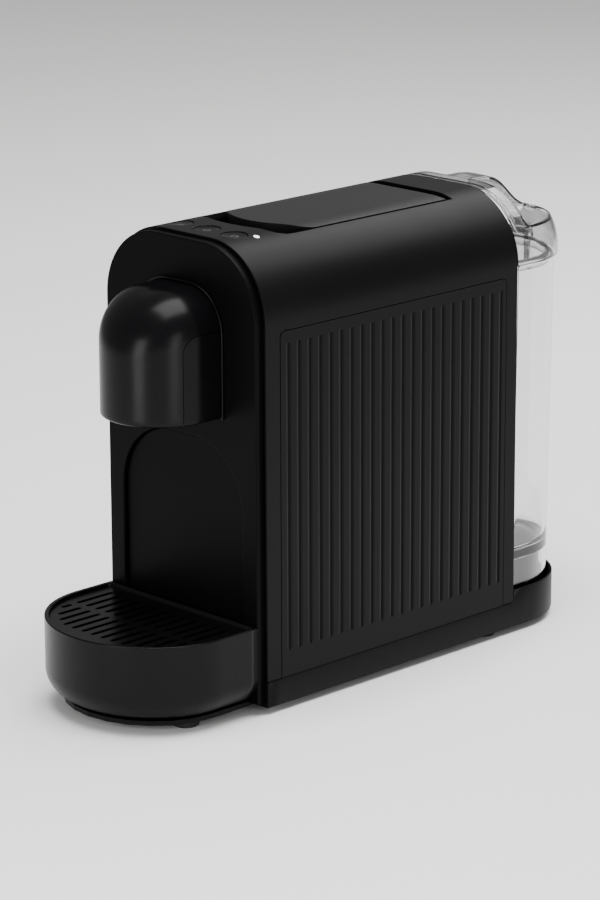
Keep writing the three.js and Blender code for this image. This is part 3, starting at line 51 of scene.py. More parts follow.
def span_of(node):
    """A node's lowest and highest corners in millimetres, measured from the housing's front edge."""
    low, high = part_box(node)
    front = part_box("main_shell")[0].y
    return (np.array(low) - (0, front, 0)) / MM, (np.array(high) - (0, front, 0)) / MM


FRONT_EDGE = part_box("main_shell")[0].y / MM
HALF = span_of("main_shell")[1][0]
TOP = span_of("main_shell")[1][2]
DEPTH = span_of("main_shell")[1][1]
SHELL_FOOT = span_of("main_shell")[0][2]
REAR = span_of("base_chassis")[1][1]
CORNER = 39.0
FIT = 0.3
FACE = span_of("front_fascia")[0][1]

# ---------------------------------------------------------------- shapes as grids


def put(points):
    """Millimetres from the housing's front edge, as metres in the frame."""
    return (np.asarray(points, float) + (0, FRONT_EDGE, 0)) * MM


def sheet(points, wrap="", keep=None):
    """A grid of points; wrap names the directions (u, v) that close on themselves, keep drops cells."""
    return np.asarray(points, float), wrap, keep


def stack(*runs):
    """Joins rows of numbers, dropping a row that repeats the one before it."""
    rows = np.vstack([np.atleast_2d(run) for run in runs])
    far = np.r_[True, np.linalg.norm(np.diff(rows, axis=0), axis=1) > 1e-9]
    return rows[far]


def bend(centre, radius, start, end, steps=6):
    """Points on an arc: centre plus radius times the cosine and sine of an angle in degrees."""
    angle = np.radians(np.linspace(start, end, steps + 1))
    return np.stack([centre[0] + radius * np.cos(angle), centre[1] + radius * np.sin(angle)], -1)


def line(start, end, steps=1):
    """Points evenly spread on a straight line."""
    share = np.linspace(0, 1, steps + 1)[:, None]
    return np.asarray(start, float) * (1 - share) + np.asarray(end, float) * share


def ease(low, high, value):
    """0 below low, 1 above high, and 3s^2 - 2s^3 between them."""
    share = np.clip((np.asarray(value, float) - low) / (high - low), 0, 1)
    return share * share * (3 - 2 * share)


def run_along(polyline, shares):
    """Points at the given shares of a line's length."""
    reach = np.r_[0, np.cumsum(np.linalg.norm(np.diff(polyline, axis=0), axis=1))]
    return np.stack([np.interp(shares * reach[-1], reach, axis) for axis in polyline.T], -1)


def fan(loop):
    """Closes a flat loop: each point is joined to the loop's middle."""
    loop = np.asarray(loop, float)
    return sheet(np.stack([loop, np.broadcast_to(loop.mean(0), loop.shape)]), "v")


def upright(outline, rows):
    """An outline in x and y, carried up: each row is (how far the outline is set in, height)."""
    return np.stack([np.column_stack([outline(inset), np.full(len(outline(inset)), z)]) for inset, z in rows])


def lengthwise(outline, rows):
    """An outline in x and z, carried along y: each row is (how far the outline is set in, y)."""
    return np.stack([np.insert(outline(inset), 1, y, axis=1) for inset, y in rows])


def turned(centre, rows, steps=48):
    """A profile of (radius, height) rows turned about an upright line through centre."""
    angle = np.linspace(0, 2 * np.pi, steps, endpoint=False)
    rows = np.asarray(rows, float)
    x = centre[0] + rows[:, :1] * np.cos(angle)
    y = centre[1] + rows[:, :1] * np.sin(angle)
    return sheet(np.stack([x, y, np.broadcast_to(rows[:, 1:], x.shape)], -1), "v")


def ring_patch(xs, ys, sides, steps=3):
    """A ruled ring between the grid points round a rectangle and a hole in it.

    sides are the hole's front, right, rear and left runs; each takes its side's spacing."""
    xs, ys = np.asarray(xs, float), np.asarray(ys, float)
    share_x, share_y = (xs - xs[0]) / np.ptp(xs), (ys - ys[0]) / np.ptp(ys)
    outer = [np.column_stack([xs, np.full_like(xs, ys[0])]),
             np.column_stack([np.full_like(ys, xs[-1]), ys]),
             np.column_stack([xs[::-1], np.full_like(xs, ys[-1])]),
             np.column_stack([np.full_like(ys, xs[0]), ys[::-1]])]
    shares = [share_x, share_y, 1 - share_x[::-1], 1 - share_y[::-1]]
    inner = [run_along(side, share) for side, share in zip(sides, shares)]
    outer, inner = np.vstack(outer), np.vstack(inner)
    blend = np.linspace(0, 1, steps + 1)[:, None, None]
    return inner * (1 - blend) + outer * blend


def circle_sides(centre, radius):
    """A circle as its front, right, rear and left quarters."""
    return [bend(centre, radius, start, start + 90, 24) for start in (225, 315, 405, 495)]


# ---------------------------------------------------------------- outlines


def arch(half, bottom, top, radius, side=10, arc=20, flat=6):
    """An upright arch in x and z: straight sides, two quarter circles and a flat top."""
    right = stack(line((half, bottom), (half, top - radius), side),
                  bend((half - radius, top - radius), radius, 0, 90, arc),
                  line((half - radius, top), (0, top), flat))
    return np.vstack([right, (right * (-1, 1))[::-1][1:]])


def rear_plan(half, front, rear, radius, side=10, arc=20, flat=6):
    """A plan in x and y: straight sides from the front, then two quarter circles and a flat rear."""
    return arch(half, front, rear, radius, side, arc, flat)


def arch_height(x):
    """Height of the housing's top: flat in the middle, a quarter circle towards each side."""
    past = np.clip(np.abs(x) - (HALF - CORNER), 0, CORNER)
    return TOP - CORNER + np.sqrt(CORNER ** 2 - past ** 2)


# ---------------------------------------------------------------- pieces from grids


def weigh_normals(mesh, pull):
    """Each point's normal is the sum of its faces' normals times their areas, so broad faces look flat."""
    sizes, corners = np.zeros(len(mesh.polygons), int), np.zeros(len(mesh.loops), int)
    mesh.polygons.foreach_get("loop_total", sizes)
    mesh.loops.foreach_get("vertex_index", corners)
    total = np.zeros((len(mesh.vertices), 3))
    np.add.at(total, corners, np.repeat(pull, sizes, axis=0))
    length = np.linalg.norm(total, axis=1)[:, None]
    normals = np.where(length > 0, total / np.maximum(length, 1e-20), (0, 0, 1))
    mesh.normals_split_custom_set_from_vertices(normals.tolist())


def piece(name, sheets, body, material, stands_for=(), wall=0.0, edge=0.0, edge_angle=50, edge_steps=2,
          middle=None, weld=0.002):
    """Welds sheets into one mesh, turns it outwards from middle, and gives it a wall and round edges."""
    points, faces, count = [], [], 0
    for grid, wrap, keep in sheets:
        rows, cols = grid.shape[:2]
        last_row, last_col = rows - ("u" not in wrap), cols - ("v" not in wrap)
        i, j = np.meshgrid(np.arange(last_row), np.arange(last_col), indexing="ij")
        down, across = (i + 1) % rows, (j + 1) % cols
        quads = np.stack([i * cols + j, down * cols + j, down * cols + across, i * cols + across], -1)
        quads = quads[keep] if keep is not None else quads.reshape(-1, 4)
        points.append(grid.reshape(-1, 3))
        faces.append(quads + count)
        count += rows * cols
    used, index = np.unique(np.vstack(faces), return_inverse=True)
    mesh = bpy.data.meshes.new(name)
    mesh.from_pydata(put(np.vstack(points)[used]).tolist(), [], index.reshape(-1, 4).tolist())
    form = bmesh.new()
    form.from_mesh(mesh)
    bmesh.ops.remove_doubles(form, verts=form.verts, dist=weld * MM)
    bmesh.ops.dissolve_degenerate(form, edges=form.edges, dist=weld * MM)
    bmesh.ops.recalc_face_normals(form, faces=form.faces)
    form.to_mesh(mesh)
    form.free()
    number = len(mesh.polygons)
    values = {"center": np.zeros(number * 3), "normal": np.zeros(number * 3), "area": np.zeros(number)}
    for key, array in values.items():
        mesh.polygons.foreach_get(key, array)
    centres, normals = values["center"].reshape(-1, 3), values["normal"].reshape(-1, 3)
    inside = put(middle) if middle is not None and wall else (centres.min(0) + centres.max(0)) / 2
    if np.sum(values["area"] * np.sum(normals * (centres - inside), axis=1)) < 0:
        mesh.flip_normals()
        normals = -normals
    mesh.polygons.foreach_set("use_smooth", np.ones(number, bool))
    if not wall and not edge:
        weigh_normals(mesh, normals * values["area"][:, None])
    item = bpy.data.objects.new(name, mesh)
    bpy.context.scene.collection.objects.link(item)
    mesh.materials.append(material)
    if wall:
        skin = item.modifiers.new("wall", "SOLIDIFY")
        skin.thickness, skin.offset, skin.use_even_offset = wall * MM, -1, True
    if edge:
        soft = item.modifiers.new("edge", "BEVEL")
        soft.width, soft.segments, soft.limit_method = edge * MM, edge_steps, "ANGLE"
        soft.angle_limit, soft.harden_normals = math.radians(edge_angle), True
    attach(item, body)
    if stands_for:
        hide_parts(*stands_for)
    return item


# ---------------------------------------------------------------- finishes


def linear(code):
    """An sRGB hex colour as linear RGBA."""
    share = np.array([int(code[i:i + 2], 16) for i in (1, 3, 5)]) / 255
    return (*np.where(share <= 0.04045, share / 12.92, ((share + 0.055) / 1.055) ** 2.4).tolist(), 1.0)


def add(material, kind, settings=None, links=None):
    """Adds one node with its settings and with what feeds its sockets."""
    made = material.node_tree.nodes.new(kind)
    for key, value in (settings or {}).items():
        if isinstance(key, str) and hasattr(made, key):
            setattr(made, key, value)
        else:
            made.inputs[key].default_value = value
    for key, source in (links or {}).items():
        material.node_tree.links.new(source, made.inputs[key])
    return made


def finish(name, colour, second, roughness, spread=0.05, grain=1.2, relief=0.02, cloud=45,
           stretch=(1, 1, 1), murk=0, **surface):
    """A surface whose colour and gloss drift in broad clouds under a fine relief.

    grain and cloud are sizes in millimetres, relief is the grain's depth in millimetres, and stretch
    scales the grain along each axis, as brushing or drawing does. murk is how much light a clear plastic
    loses in each metre, which darkens its edges."""
    material = bpy.data.materials.new(name)
    material.use_nodes = True
    tree = material.node_tree
    tree.nodes.clear()
    place = add(material, "ShaderNodeTexCoord").outputs["Object"]
    broad = add(material, "ShaderNodeTexNoise", {"Scale": 1000 / cloud, "Detail": 3.0}, {"Vector": place})
    turned_place = add(material, "ShaderNodeMapping", {"Scale": stretch}, {"Vector": place})
    fine = add(material, "ShaderNodeTexNoise", {"Scale": 1000 / grain, "Detail": 2.0},
               {"Vector": turned_place.outputs["Vector"]})
    tint = add(material, "ShaderNodeMix", {"data_type": "RGBA", 6: linear(colour), 7: linear(second)},
               {0: broad.outputs["Fac"]})
    gloss = add(material, "ShaderNodeMapRange",
                {"From Min": 0.3, "From Max": 0.7, "To Min": roughness - spread, "To Max": roughness + spread},
                {"Value": broad.outputs["Fac"]})
    bump = add(material, "ShaderNodeBump", {"Strength": 1.0, "Distance": relief * MM},
               {"Height": fine.outputs["Fac"]})
    shader = add(material, "ShaderNodeBsdfPrincipled", surface, {"Base Color": tint.outputs[2],
                 "Roughness": gloss.outputs["Result"], "Normal": bump.outputs["Normal"]})
    output = {"Surface": shader.outputs["BSDF"]}
    if murk:
        loss = add(material, "ShaderNodeVolumeAbsorption", {"Color": linear("#20201f"), "Density": murk})
        output["Volume"] = loss.outputs["Volume"]
    add(material, "ShaderNodeOutputMaterial", None, output)
    return material


# ABS moulded in a finely eroded tool: a matt black with a soft, wide highlight. The grain is drawn
# coarser than its 0.3 mm, so that it shows.
housing_abs = finish("moulded_abs_fine_grain", "#070707", "#0b0b0b", 0.4, 0.03, 0.9, 0.01, 60,
                     **{"IOR": 1.5, "Specular IOR Level": 0.09})
# ABS moulded in a polished tool: deeper black with clearer, satin highlights and a faint orange peel.
satin_abs = finish("moulded_abs_satin", "#070708", "#0a0a0c", 0.27, 0.03, 3.5, 0.008, 40,
                   **{"IOR": 1.5, "Specular IOR Level": 0.11})
# ABS front plate in a matt tool: the darkest face, with hardly any highlight.
fascia_abs = finish("moulded_abs_matt", "#050505", "#080808", 0.45, 0.03, 0.9, 0.01, 60,
                    **{"IOR": 1.5, "Specular IOR Level": 0.04})
# The lever's ABS is dyed dark grey and has a silky surface.
lever_abs = finish("dyed_abs_silky", "#161617", "#1c1c1d", 0.42, 0.03, 0.9, 0.01, 50,
                   **{"IOR": 1.5, "Specular IOR Level": 0.14})
# Clear styrene acrylonitrile from a polished tool: glassy, with a faint cool cast at its edges.
clear_san = finish("clear_san_polished", "#f9fafa", "#fcfcfc", 0.03, 0.015, 6, 0.004, 50, murk=14,
                   **{"IOR": 1.57, "Transmission Weight": 1.0})
# The lid's SAN is a little smoked, so its edges read darker than the tank's.
smoked_san = finish("smoked_san_polished", "#f6f6f7", "#fafafa", 0.04, 0.015, 6, 0.004, 50, murk=110,
                    **{"IOR": 1.57, "Transmission Weight": 1.0})
# Glass-filled nylon: dark, dull, with a slightly coarse skin.
filled_nylon = finish("glass_filled_nylon", "#18181a", "#222224", 0.58, 0.06, 1.4, 0.03, 30, **{"IOR": 1.53})
# Natural acetal: milky white with a soft sheen.
acetal = finish("natural_acetal", "#d2d1cb", "#dddcd6", 0.42, 0.05, 1.5, 0.012, 30,
                **{"IOR": 1.48, "Subsurface Weight": 0.1, "Subsurface Radius": (0.002, 0.002, 0.002)})
# Moulded nitrile rubber: dull black with a dusty bloom.
rubber = finish("moulded_rubber", "#0d0d0d", "#181818", 0.78, 0.08, 1.2, 0.03, 14, **{"IOR": 1.52})
# Extruded and moulded silicone: translucent grey with a tacky, half-dull surface.
silicone = finish("translucent_silicone", "#a9adad", "#b9bdbd", 0.5, 0.06, 2.0, 0.01, 18,
                  **{"IOR": 1.41, "Subsurface Weight": 0.3, "Subsurface Radius": (0.004, 0.004, 0.004)})
# Stainless steel, drawn or pressed and left bright: fine lines along the machine's width.
steel = finish("stainless_steel_drawn", "#a9abad", "#bcbec0", 0.3, 0.06, 0.6, 0.008, 20, (0.08, 1, 1),
               Metallic=1.0)
# Die-cast aluminium: pale grey with a pebbled, half-dull skin.
cast_aluminium = finish("aluminium_die_cast", "#8f9193", "#a6a8aa", 0.5, 0.08, 1.6, 0.05, 16, Metallic=1.0)
# Drawn brass with a thin brown tarnish in clouds.
brass = finish("brass_drawn", "#a98645", "#8c6a35", 0.34, 0.08, 0.8, 0.01, 12, (1, 1, 0.1), Metallic=1.0)
# Circuit board: green solder mask over woven glass cloth.
board = finish("solder_mask_green", "#12361f", "#1a4a2a", 0.3, 0.05, 0.8, 0.02, 10, **{"IOR": 1.55})
# Frosted light pipe, lit white from below.
lamp = finish("frosted_light_pipe", "#f2f2f0", "#ffffff", 0.35, 0.05, 1.0, 0.01, 10,
              **{"IOR": 1.49, "Emission Color": linear("#ffffff"), "Emission Strength": 1.2})
# Pad-printed ink for the symbols: a flat, light grey.
ink = finish("pad_printed_ink", "#3c3c3d", "#464647", 0.6, 0.05, 0.6, 0.01, 8, **{"IOR": 1.5})
# Painted studio floor: pale and dull.
floor_paint = finish("matt_floor_paint", "#f4f4f3", "#f7f7f6", 0.9, 0.03, 2.0, 0.01, 400,
                     **{"Specular IOR Level": 0.1})

# ---------------------------------------------------------------- housing

BUTTON_XS = (-20.0, 0.0, 20.0)
BUTTON_Y = 14.0
BUTTON_BORE = 7.05
PANEL_FRONT, PANEL_REAR, PANEL_TOP, PANEL_CORNER = 10.0, DEPTH - 8.6, 200.9, 3.0
WELL_HALF, WELL_REAR, WELL_CORNER = 31.5, 162.6, 11.0
WELL_FRONT = 33.0
# The squares of the top's grid that a round bore and the well's mouth take the place of.
BORE_CELL = 8.0
WELL_CELL_HALF, WELL_CELL_FRONT, WELL_CELL_REAR = 36.0, 26.0, 168.0
BODY_MIDDLE = (0, 90, 120)


def housing_lines():
    """The arch's lines from the top's middle down one side: even on the top, by angle round the corner."""
    top_x = np.r_[np.arange(0, 31, 2), 33, WELL_CELL_HALF]
    start = math.asin((WELL_CELL_HALF - (HALF - CORNER)) / CORNER)
    corner = np.linspace(start, math.pi / 2, 18)[1:]
    side = np.array([204, 202.4, PANEL_TOP, PANEL_TOP - PANEL_CORNER, 180, 140, 100, 60, 30,
                     SHELL_FOOT + 2, SHELL_FOOT])
    x = np.r_[top_x, HALF - CORNER + CORNER * np.sin(corner), np.full(len(side), HALF)]
    z = np.r_[arch_height(top_x), TOP - CORNER + CORNER * np.cos(corner), side]
    return np.column_stack([x, z])


def well_sides():
    """The lever well's mouth: a shallow front arc between two round corners, then straight sides and rear."""
    inner = WELL_HALF - WELL_CORNER
    share = np.linspace(0, 1, 25)[:, None]
    start, peak, end = (-inner, WELL_FRONT), (0, WELL_FRONT - 6), (inner, WELL_FRONT)
    arc = (1 - share) ** 2 * start + 2 * share * (1 - share) * peak + share ** 2 * end
    centre_y = WELL_FRONT + WELL_CORNER
    front = stack(bend((-inner, centre_y), WELL_CORNER, 225, 270, 8), arc,
                  bend((inner, centre_y), WELL_CORNER, 270, 315, 8))
    right = stack(bend((inner, centre_y), WELL_CORNER, 315, 360, 8),
                  line((WELL_HALF, centre_y), (WELL_HALF, WELL_REAR), 10))
    return [front, right, line((WELL_HALF, WELL_REAR), (-WELL_HALF, WELL_REAR)), (right * (-1, 1))[::-1]]


def housing_shell():
    """The arch carried back along y, less a window for each ribbed panel, the well's mouth and the bores."""
    half = housing_lines()
    full = np.vstack([(half * (-1, 1))[::-1][:-1], half])
    bore_low, bore_high = BUTTON_Y - BORE_CELL, BUTTON_Y + BORE_CELL
    ys = np.unique(np.r_[0, 2, 4, bore_low, 8, 14, 16, 18, 20, bore_high,
                         PANEL_FRONT, PANEL_FRONT + PANEL_CORNER,
                         WELL_CELL_FRONT, np.arange(32, WELL_CELL_REAR, 6), WELL_CELL_REAR,
                         PANEL_REAR - PANEL_CORNER, PANEL_REAR, DEPTH - 2, DEPTH])
    x, z, y = full[:, 0][:, None] + 0 * ys, full[:, 1][:, None] + 0 * ys, ys[None, :] + 0 * full[:, :1]
    mid = lambda grid: (grid[1:, 1:] + grid[1:, :-1] + grid[:-1, 1:] + grid[:-1, :-1]) / 4
    mx, my, mz = mid(x), mid(y), mid(z)
    keep = ~((np.abs(mx) > HALF - 0.01) & (mz < PANEL_TOP) & (my > PANEL_FRONT) & (my < PANEL_REAR))
    on_roof = mz > 230
    keep &= ~(on_roof & (np.abs(mx) < WELL_CELL_HALF) & (my > WELL_CELL_FRONT) & (my < WELL_CELL_REAR))
    for at in BUTTON_XS:
        keep &= ~(on_roof & (np.abs(mx - at) < BORE_CELL) & (my > bore_low) & (my < bore_high))
    sheets = [sheet(np.stack([x, y, z], -1), "", keep)]
    on_top = lambda flat: np.concatenate([flat, arch_height(flat[..., :1])], -1)
    xs = np.unique(np.r_[-half[:, 0], half[:, 0]])
    pick = lambda values, low, high: values[(values > low - 0.01) & (values < high + 0.01)]
    well_xs, well_ys = pick(xs, -WELL_CELL_HALF, WELL_CELL_HALF), pick(ys, WELL_CELL_FRONT, WELL_CELL_REAR)
    sheets.append(sheet(on_top(ring_patch(well_xs, well_ys, well_sides(), 4))))
    for at in BUTTON_XS:
        bore = circle_sides((at, BUTTON_Y), BUTTON_BORE)
        patch = ring_patch(pick(xs, at - BORE_CELL, at + BORE_CELL), pick(ys, bore_low, bore_high), bore, 2)
        sheets.append(sheet(on_top(patch)))
    for side in (-1, 1):
        for y0, turn in ((PANEL_FRONT, (90, 180)), (PANEL_REAR, (90, 0))):
            way = 1 if y0 == PANEL_FRONT else -1
            arc = bend((y0 + way * PANEL_CORNER, PANEL_TOP - PANEL_CORNER), PANEL_CORNER, *turn, 6)
            corner = np.broadcast_to((y0, PANEL_TOP), arc.shape)
            sheets.append(sheet(np.insert(np.stack([arc, corner]), 0, side * HALF, axis=-1)))
    return sheets


piece("housing_shell", housing_shell(), "housing", housing_abs, ["main_shell"],
      wall=3.4, edge=0.4, middle=BODY_MIDDLE)


GROOVES, GROOVE_DEPTH, GROOVE_FOOT, GROOVE_HEAD = 22, 0.85, 32.7, PANEL_TOP - 7.0


def ribbed_panel(side):
    """A plate with upright grooves: depth is an eased step of the distance to the nearest groove's line."""
    front, rear, top = PANEL_FRONT + FIT, PANEL_REAR - FIT, PANEL_TOP - FIT
    lines = np.linspace(PANEL_FRONT + 5.9, PANEL_REAR - 4.2, GROOVES)
    across = np.array([-2.2, -1.0, -0.82, -0.66, -0.5, -0.34, -0.12, 0.12, 0.34, 0.5, 0.66, 0.82, 1.0, 2.2])
    radius = PANEL_CORNER - FIT
    ends = np.array([0, 0.5, 1.1, 1.9, radius])
    ys = np.unique(np.r_[front + ends, (lines[:, None] + across).ravel(), rear - ends])
    caps = np.array([-3, -1.1, -0.9, -0.7, -0.5, -0.25, 0, 0.4])
    between = np.linspace(GROOVE_FOOT + 4, GROOVE_HEAD - 4, 12)
    zs = np.unique(np.r_[SHELL_FOOT, 24, GROOVE_FOOT + caps, between, GROOVE_HEAD - caps,
                         top - 4.5, top - 2.7, top])
    y, z = np.meshgrid(ys, zs, indexing="ij")
    nearest = np.abs(y[..., None] - lines).min(-1)
    past = np.maximum(0, np.maximum(GROOVE_FOOT - z, z - GROOVE_HEAD))
    depth = GROOVE_DEPTH * ease(-1.0, -0.4, -np.hypot(nearest, past))
    inset = np.clip(radius - np.minimum(y - front, rear - y), 0, radius)
    drop = radius - np.sqrt(radius ** 2 - inset ** 2)
    z = z - drop * ease(top - 30, top, z)
    return sheet(np.stack([side * (HALF - depth), y, z], -1))


for side, label in ((-1, "right"), (1, "left")):
    piece(f"ribbed_panel_{label}", [ribbed_panel(side)], "housing", housing_abs,
          [f"side_panel_{label}"], wall=1.7, edge=0.25, edge_angle=62, middle=BODY_MIDDLE)

BOTTOM_OF_FACE = span_of("front_fascia")[0][2]
ARCH_HALF, ARCH_TOP, ARCH_RADIUS = 44.7, 141.0, 36.0
FACE_STEP = 1.5


def face_edge(inset):
    """The front plate's outer edge."""
    gap = FACE_STEP + inset
    return arch(HALF - gap, BOTTOM_OF_FACE, TOP - gap, CORNER - gap)


def bin_edge(inset):
    """The arch that the capsule bin fills; a positive inset widens it."""
    return arch(ARCH_HALF + inset, BOTTOM_OF_FACE, ARCH_TOP + inset, ARCH_RADIUS + inset)


def front_plate():
    """A closed band: the outer edge, the face ruled between the two arches, the inner edge and the back."""
    outer = lengthwise(face_edge, stack((0, -FIT), bend((0.7, FACE + 0.7), 0.7, 180, 270, 4)))
    inner = lengthwise(bin_edge, stack(bend((0.8, FACE + 0.8), 0.8, 270, 180, 4), (0, -FIT)))
    loop = np.concatenate([outer, inner])
    return [sheet(loop, "u"), fan(loop[:, 0]), fan(loop[:, -1])]


piece("front_plate", front_plate(), "housing", fascia_abs, ["front_fascia"],
      middle=(0, -3, 200))

# ---------------------------------------------------------------- brew head

HEAD_HALF, HEAD_FOOT, HEAD_TOP, HEAD_REACH = 31.2, 154.0, 220.0, 44.5
NOSE = FACE - HEAD_REACH
HEAD_SHOULDER, HEAD_BROW = 23.0, 31.0
SEAM_FRONT, SEAM_TOP, SEAM_RADIUS = FACE - 24.8, 199.8, 9.0
HEAD_MIDDLE = (0, -22, 185)
HEAD_BACK = FACE - 0.2
NOSE_CENTRE = NOSE + HEAD_HALF


def head_height(x, y):
    """Height of the head: its top less a quarter circle's drop near the plan's edge.

    The quarter circle's radius grows from the flanks to the front with the square of the plan angle's sine."""
    ahead = np.maximum(0, NOSE_CENTRE - y)
    reach = np.hypot(x, ahead)
    front = np.where(reach > 1e-9, ahead / np.maximum(reach, 1e-9), 0) ** 2
    radius = HEAD_SHOULDER + (HEAD_BROW - HEAD_SHOULDER) * front
    past = np.clip(reach - (HEAD_HALF - radius), 0, radius)
    return HEAD_TOP - radius + np.sqrt(radius ** 2 - past ** 2)


def head_columns(ys, angles, side, seam, low_rows=18, high_rows=34):
    """Columns of the head's surface, from its foot up the wall and over to the centre line.

    Each column runs from the plan's edge to the centre; it is split at the seam's height, so one grid holds
    the part below the seam and one the part above it."""
    nose = np.column_stack([HEAD_HALF * np.cos(angles), NOSE_CENTRE - HEAD_HALF * np.sin(angles)])
    edge = np.vstack([np.column_stack([np.full(len(ys), HEAD_HALF), ys]), nose])
    centre = np.column_stack([np.zeros(len(edge)), np.maximum(edge[:, 1], NOSE_CENTRE)])
    reach = np.sin(np.linspace(np.pi / 2, 0, 80))
    over = centre[:, None] + reach[None, :, None] * (edge - centre)[:, None]
    top = head_height(over[..., 0], over[..., 1])
    foot = bend((1.4, HEAD_FOOT + 1.4), 1.4, 270, 180, 4)
    out = (edge - centre) / np.linalg.norm(edge - centre, axis=1)[:, None]
    rim = edge[:, None] - out[:, None] * foot[None, :, :1]
    rim_z = np.broadcast_to(foot[:, 1], rim.shape[:2])
    curve = np.concatenate([np.dstack([rim, rim_z]), np.dstack([over, top])], axis=1)
    steps = np.linalg.norm(np.diff(curve, axis=1), axis=2)
    length = np.concatenate([np.zeros((len(edge), 1)), np.cumsum(steps, axis=1)], axis=1)
    lower, upper = [], []
    for points, way, height in zip(curve, length, seam):
        split = np.interp(height, points[:, 2] + np.arange(len(points)) * 1e-7, way)
        foot_end = way[len(foot) - 1]
        low = np.r_[way[:len(foot)], np.linspace(foot_end, split, low_rows + 1)[1:]]
        high = np.linspace(split, way[-1], high_rows + 1)
        lower.append(np.stack([np.interp(low, way, axis) for axis in points.T], -1))
        upper.append(np.stack([np.interp(high, way, axis) for axis in points.T], -1))
    mirror = np.array((side, 1, 1))
    return np.stack(lower) * mirror, np.stack(upper) * mirror


def seam_columns(gap):
    """Where the cheek's columns stand, and the seam's height at each: level, then a quarter circle down."""
    radius = SEAM_RADIUS - gap
    front, top = SEAM_FRONT + gap, SEAM_TOP - gap
    round_y = front + radius - radius * np.sin(np.linspace(0, np.pi / 2, 10))
    round_z = top - radius + radius * np.cos(np.linspace(0, np.pi / 2, 10))
    flat_y = np.array([HEAD_BACK, FACE - 3, FACE - 7, FACE - 11, NOSE_CENTRE])
    angle = np.arcsin((NOSE_CENTRE - round_y[round_y < NOSE_CENTRE]) / HEAD_HALF)
    height = np.r_[np.full(len(flat_y), top), round_z[round_y < NOSE_CENTRE]]
    return flat_y, angle, height


def head_cover():
    """The front of the head at full height, and the flanks above the cheeks' seams."""
    sheets = []
    for side in (1, -1):
        flat_y, angle, height = seam_columns(0)
        _, upper = head_columns(flat_y, angle, side, height)
        front = np.linspace(angle[-1], np.pi / 2, 26)
        low, high = head_columns(np.array([]), front, side, np.full(len(front), height[-1]))
        sheets += [sheet(upper), sheet(low), sheet(high)]
    return sheets


piece("head_cover_skin", head_cover(), "housing", satin_abs, ["head_cover"],
      wall=2.2, edge=0.22, middle=HEAD_MIDDLE)
for side, label in ((-1, "right"), (1, "left")):
    flat_y, angle, height = seam_columns(FIT)
    cheek, _ = head_columns(flat_y, angle, side, height)
    piece(f"head_cheek_skin_{label}", [sheet(cheek)], "housing", satin_abs,
          [f"head_cheek_{label}"], wall=2.2, edge=0.22, middle=HEAD_MIDDLE)


def head_plan(inset):
    """The head's plan: straight flanks and a half circle in front, closed at the back."""
    half = HEAD_HALF - inset
    front = bend((0, NOSE_CENTRE), half, 0, -180, 40)
    return stack(line((half, HEAD_BACK), (half, NOSE_CENTRE), 4), front,
                 line((-half, NOSE_CENTRE), (-half, HEAD_BACK), 4),
                 line((-half, HEAD_BACK), (half, HEAD_BACK), 8)[:-1])


SPOUT = (0.0, FACE - 20.0)
SPOUT_HOLE = 11.9


def head_floor():
    """A plate ruled from the head's plan to the round hole for the spout."""
    plan = head_plan(1.5)
    around = np.arctan2(plan[:, 1] - SPOUT[1], plan[:, 0] - SPOUT[0])
    hole = np.column_stack([SPOUT[0] + SPOUT_HOLE * np.cos(around), SPOUT[1] + SPOUT_HOLE * np.sin(around)])
    level = lambda flat, z: np.column_stack([flat, np.full(len(flat), z)])
    share = np.linspace(0, 1, 5)[:, None, None]
    low = level(plan, HEAD_FOOT + 0.3) * (1 - share) + level(hole, HEAD_FOOT + 0.3) * share
    high = level(hole, HEAD_FOOT + 2.3) * (1 - share) + level(plan, HEAD_FOOT + 2.3) * share
    return [sheet(np.concatenate([low, high]), "uv")]


piece("head_floor", head_floor(), "housing", satin_abs)


def collar_edge(inset):
    """The collar's arch round the head; a positive inset widens it."""
    return arch(HEAD_HALF + inset, HEAD_FOOT, HEAD_TOP + inset, HEAD_SHOULDER + inset, 8, 20, 4)


def collar():
    """A small round-cornered band carried along the arch."""
    rows = stack((0.3, FACE - 0.1), bend((0.6, FACE - 1.3), 0.3, 180, 270, 3),
                 bend((1.3, FACE - 1.2), 0.4, 270, 360, 4), (1.7, FACE - 0.1))
    loop = lengthwise(collar_edge, rows)
    return [sheet(loop, "u"), fan(loop[:, 0]), fan(loop[:, -1])]


piece("head_collar_band", collar(), "housing", satin_abs, ["head_collar"],
      middle=(0, FACE, 190))

# (radius, height): up the bore, round the outlet's lip, out along the flange and up the outside.
spout_rows = stack((3.6, 174), (3.6, 153.4), bend((4.2, 153.4), 0.6, 180, 270, 3),
                   bend((4.9, 153.4), 0.6, 270, 360, 3), (5.6, 154.6), bend((11.2, 155.0), 0.4, 270, 360, 3),
                   (11.6, 158), (5.5, 158), (5.5, 174))
piece("spout_nozzle", [sheet(turned(SPOUT, spout_rows)[0], "uv")], "housing", fascia_abs,
      ["coffee_spout"])

# ---------------------------------------------------------------- lever, buttons and lamp

LEVER_HALF, LEVER_NOSE, LEVER_ARC, LEVER_CORNER = 30.6, 42.5, 38.5, 4
PIVOT_Y, PIVOT_Z = 152.0, TOP - 9.6
TAIL_RADIUS, HUB_RADIUS, ARM_TOP = 10.1, 4.6, TOP - 4.2


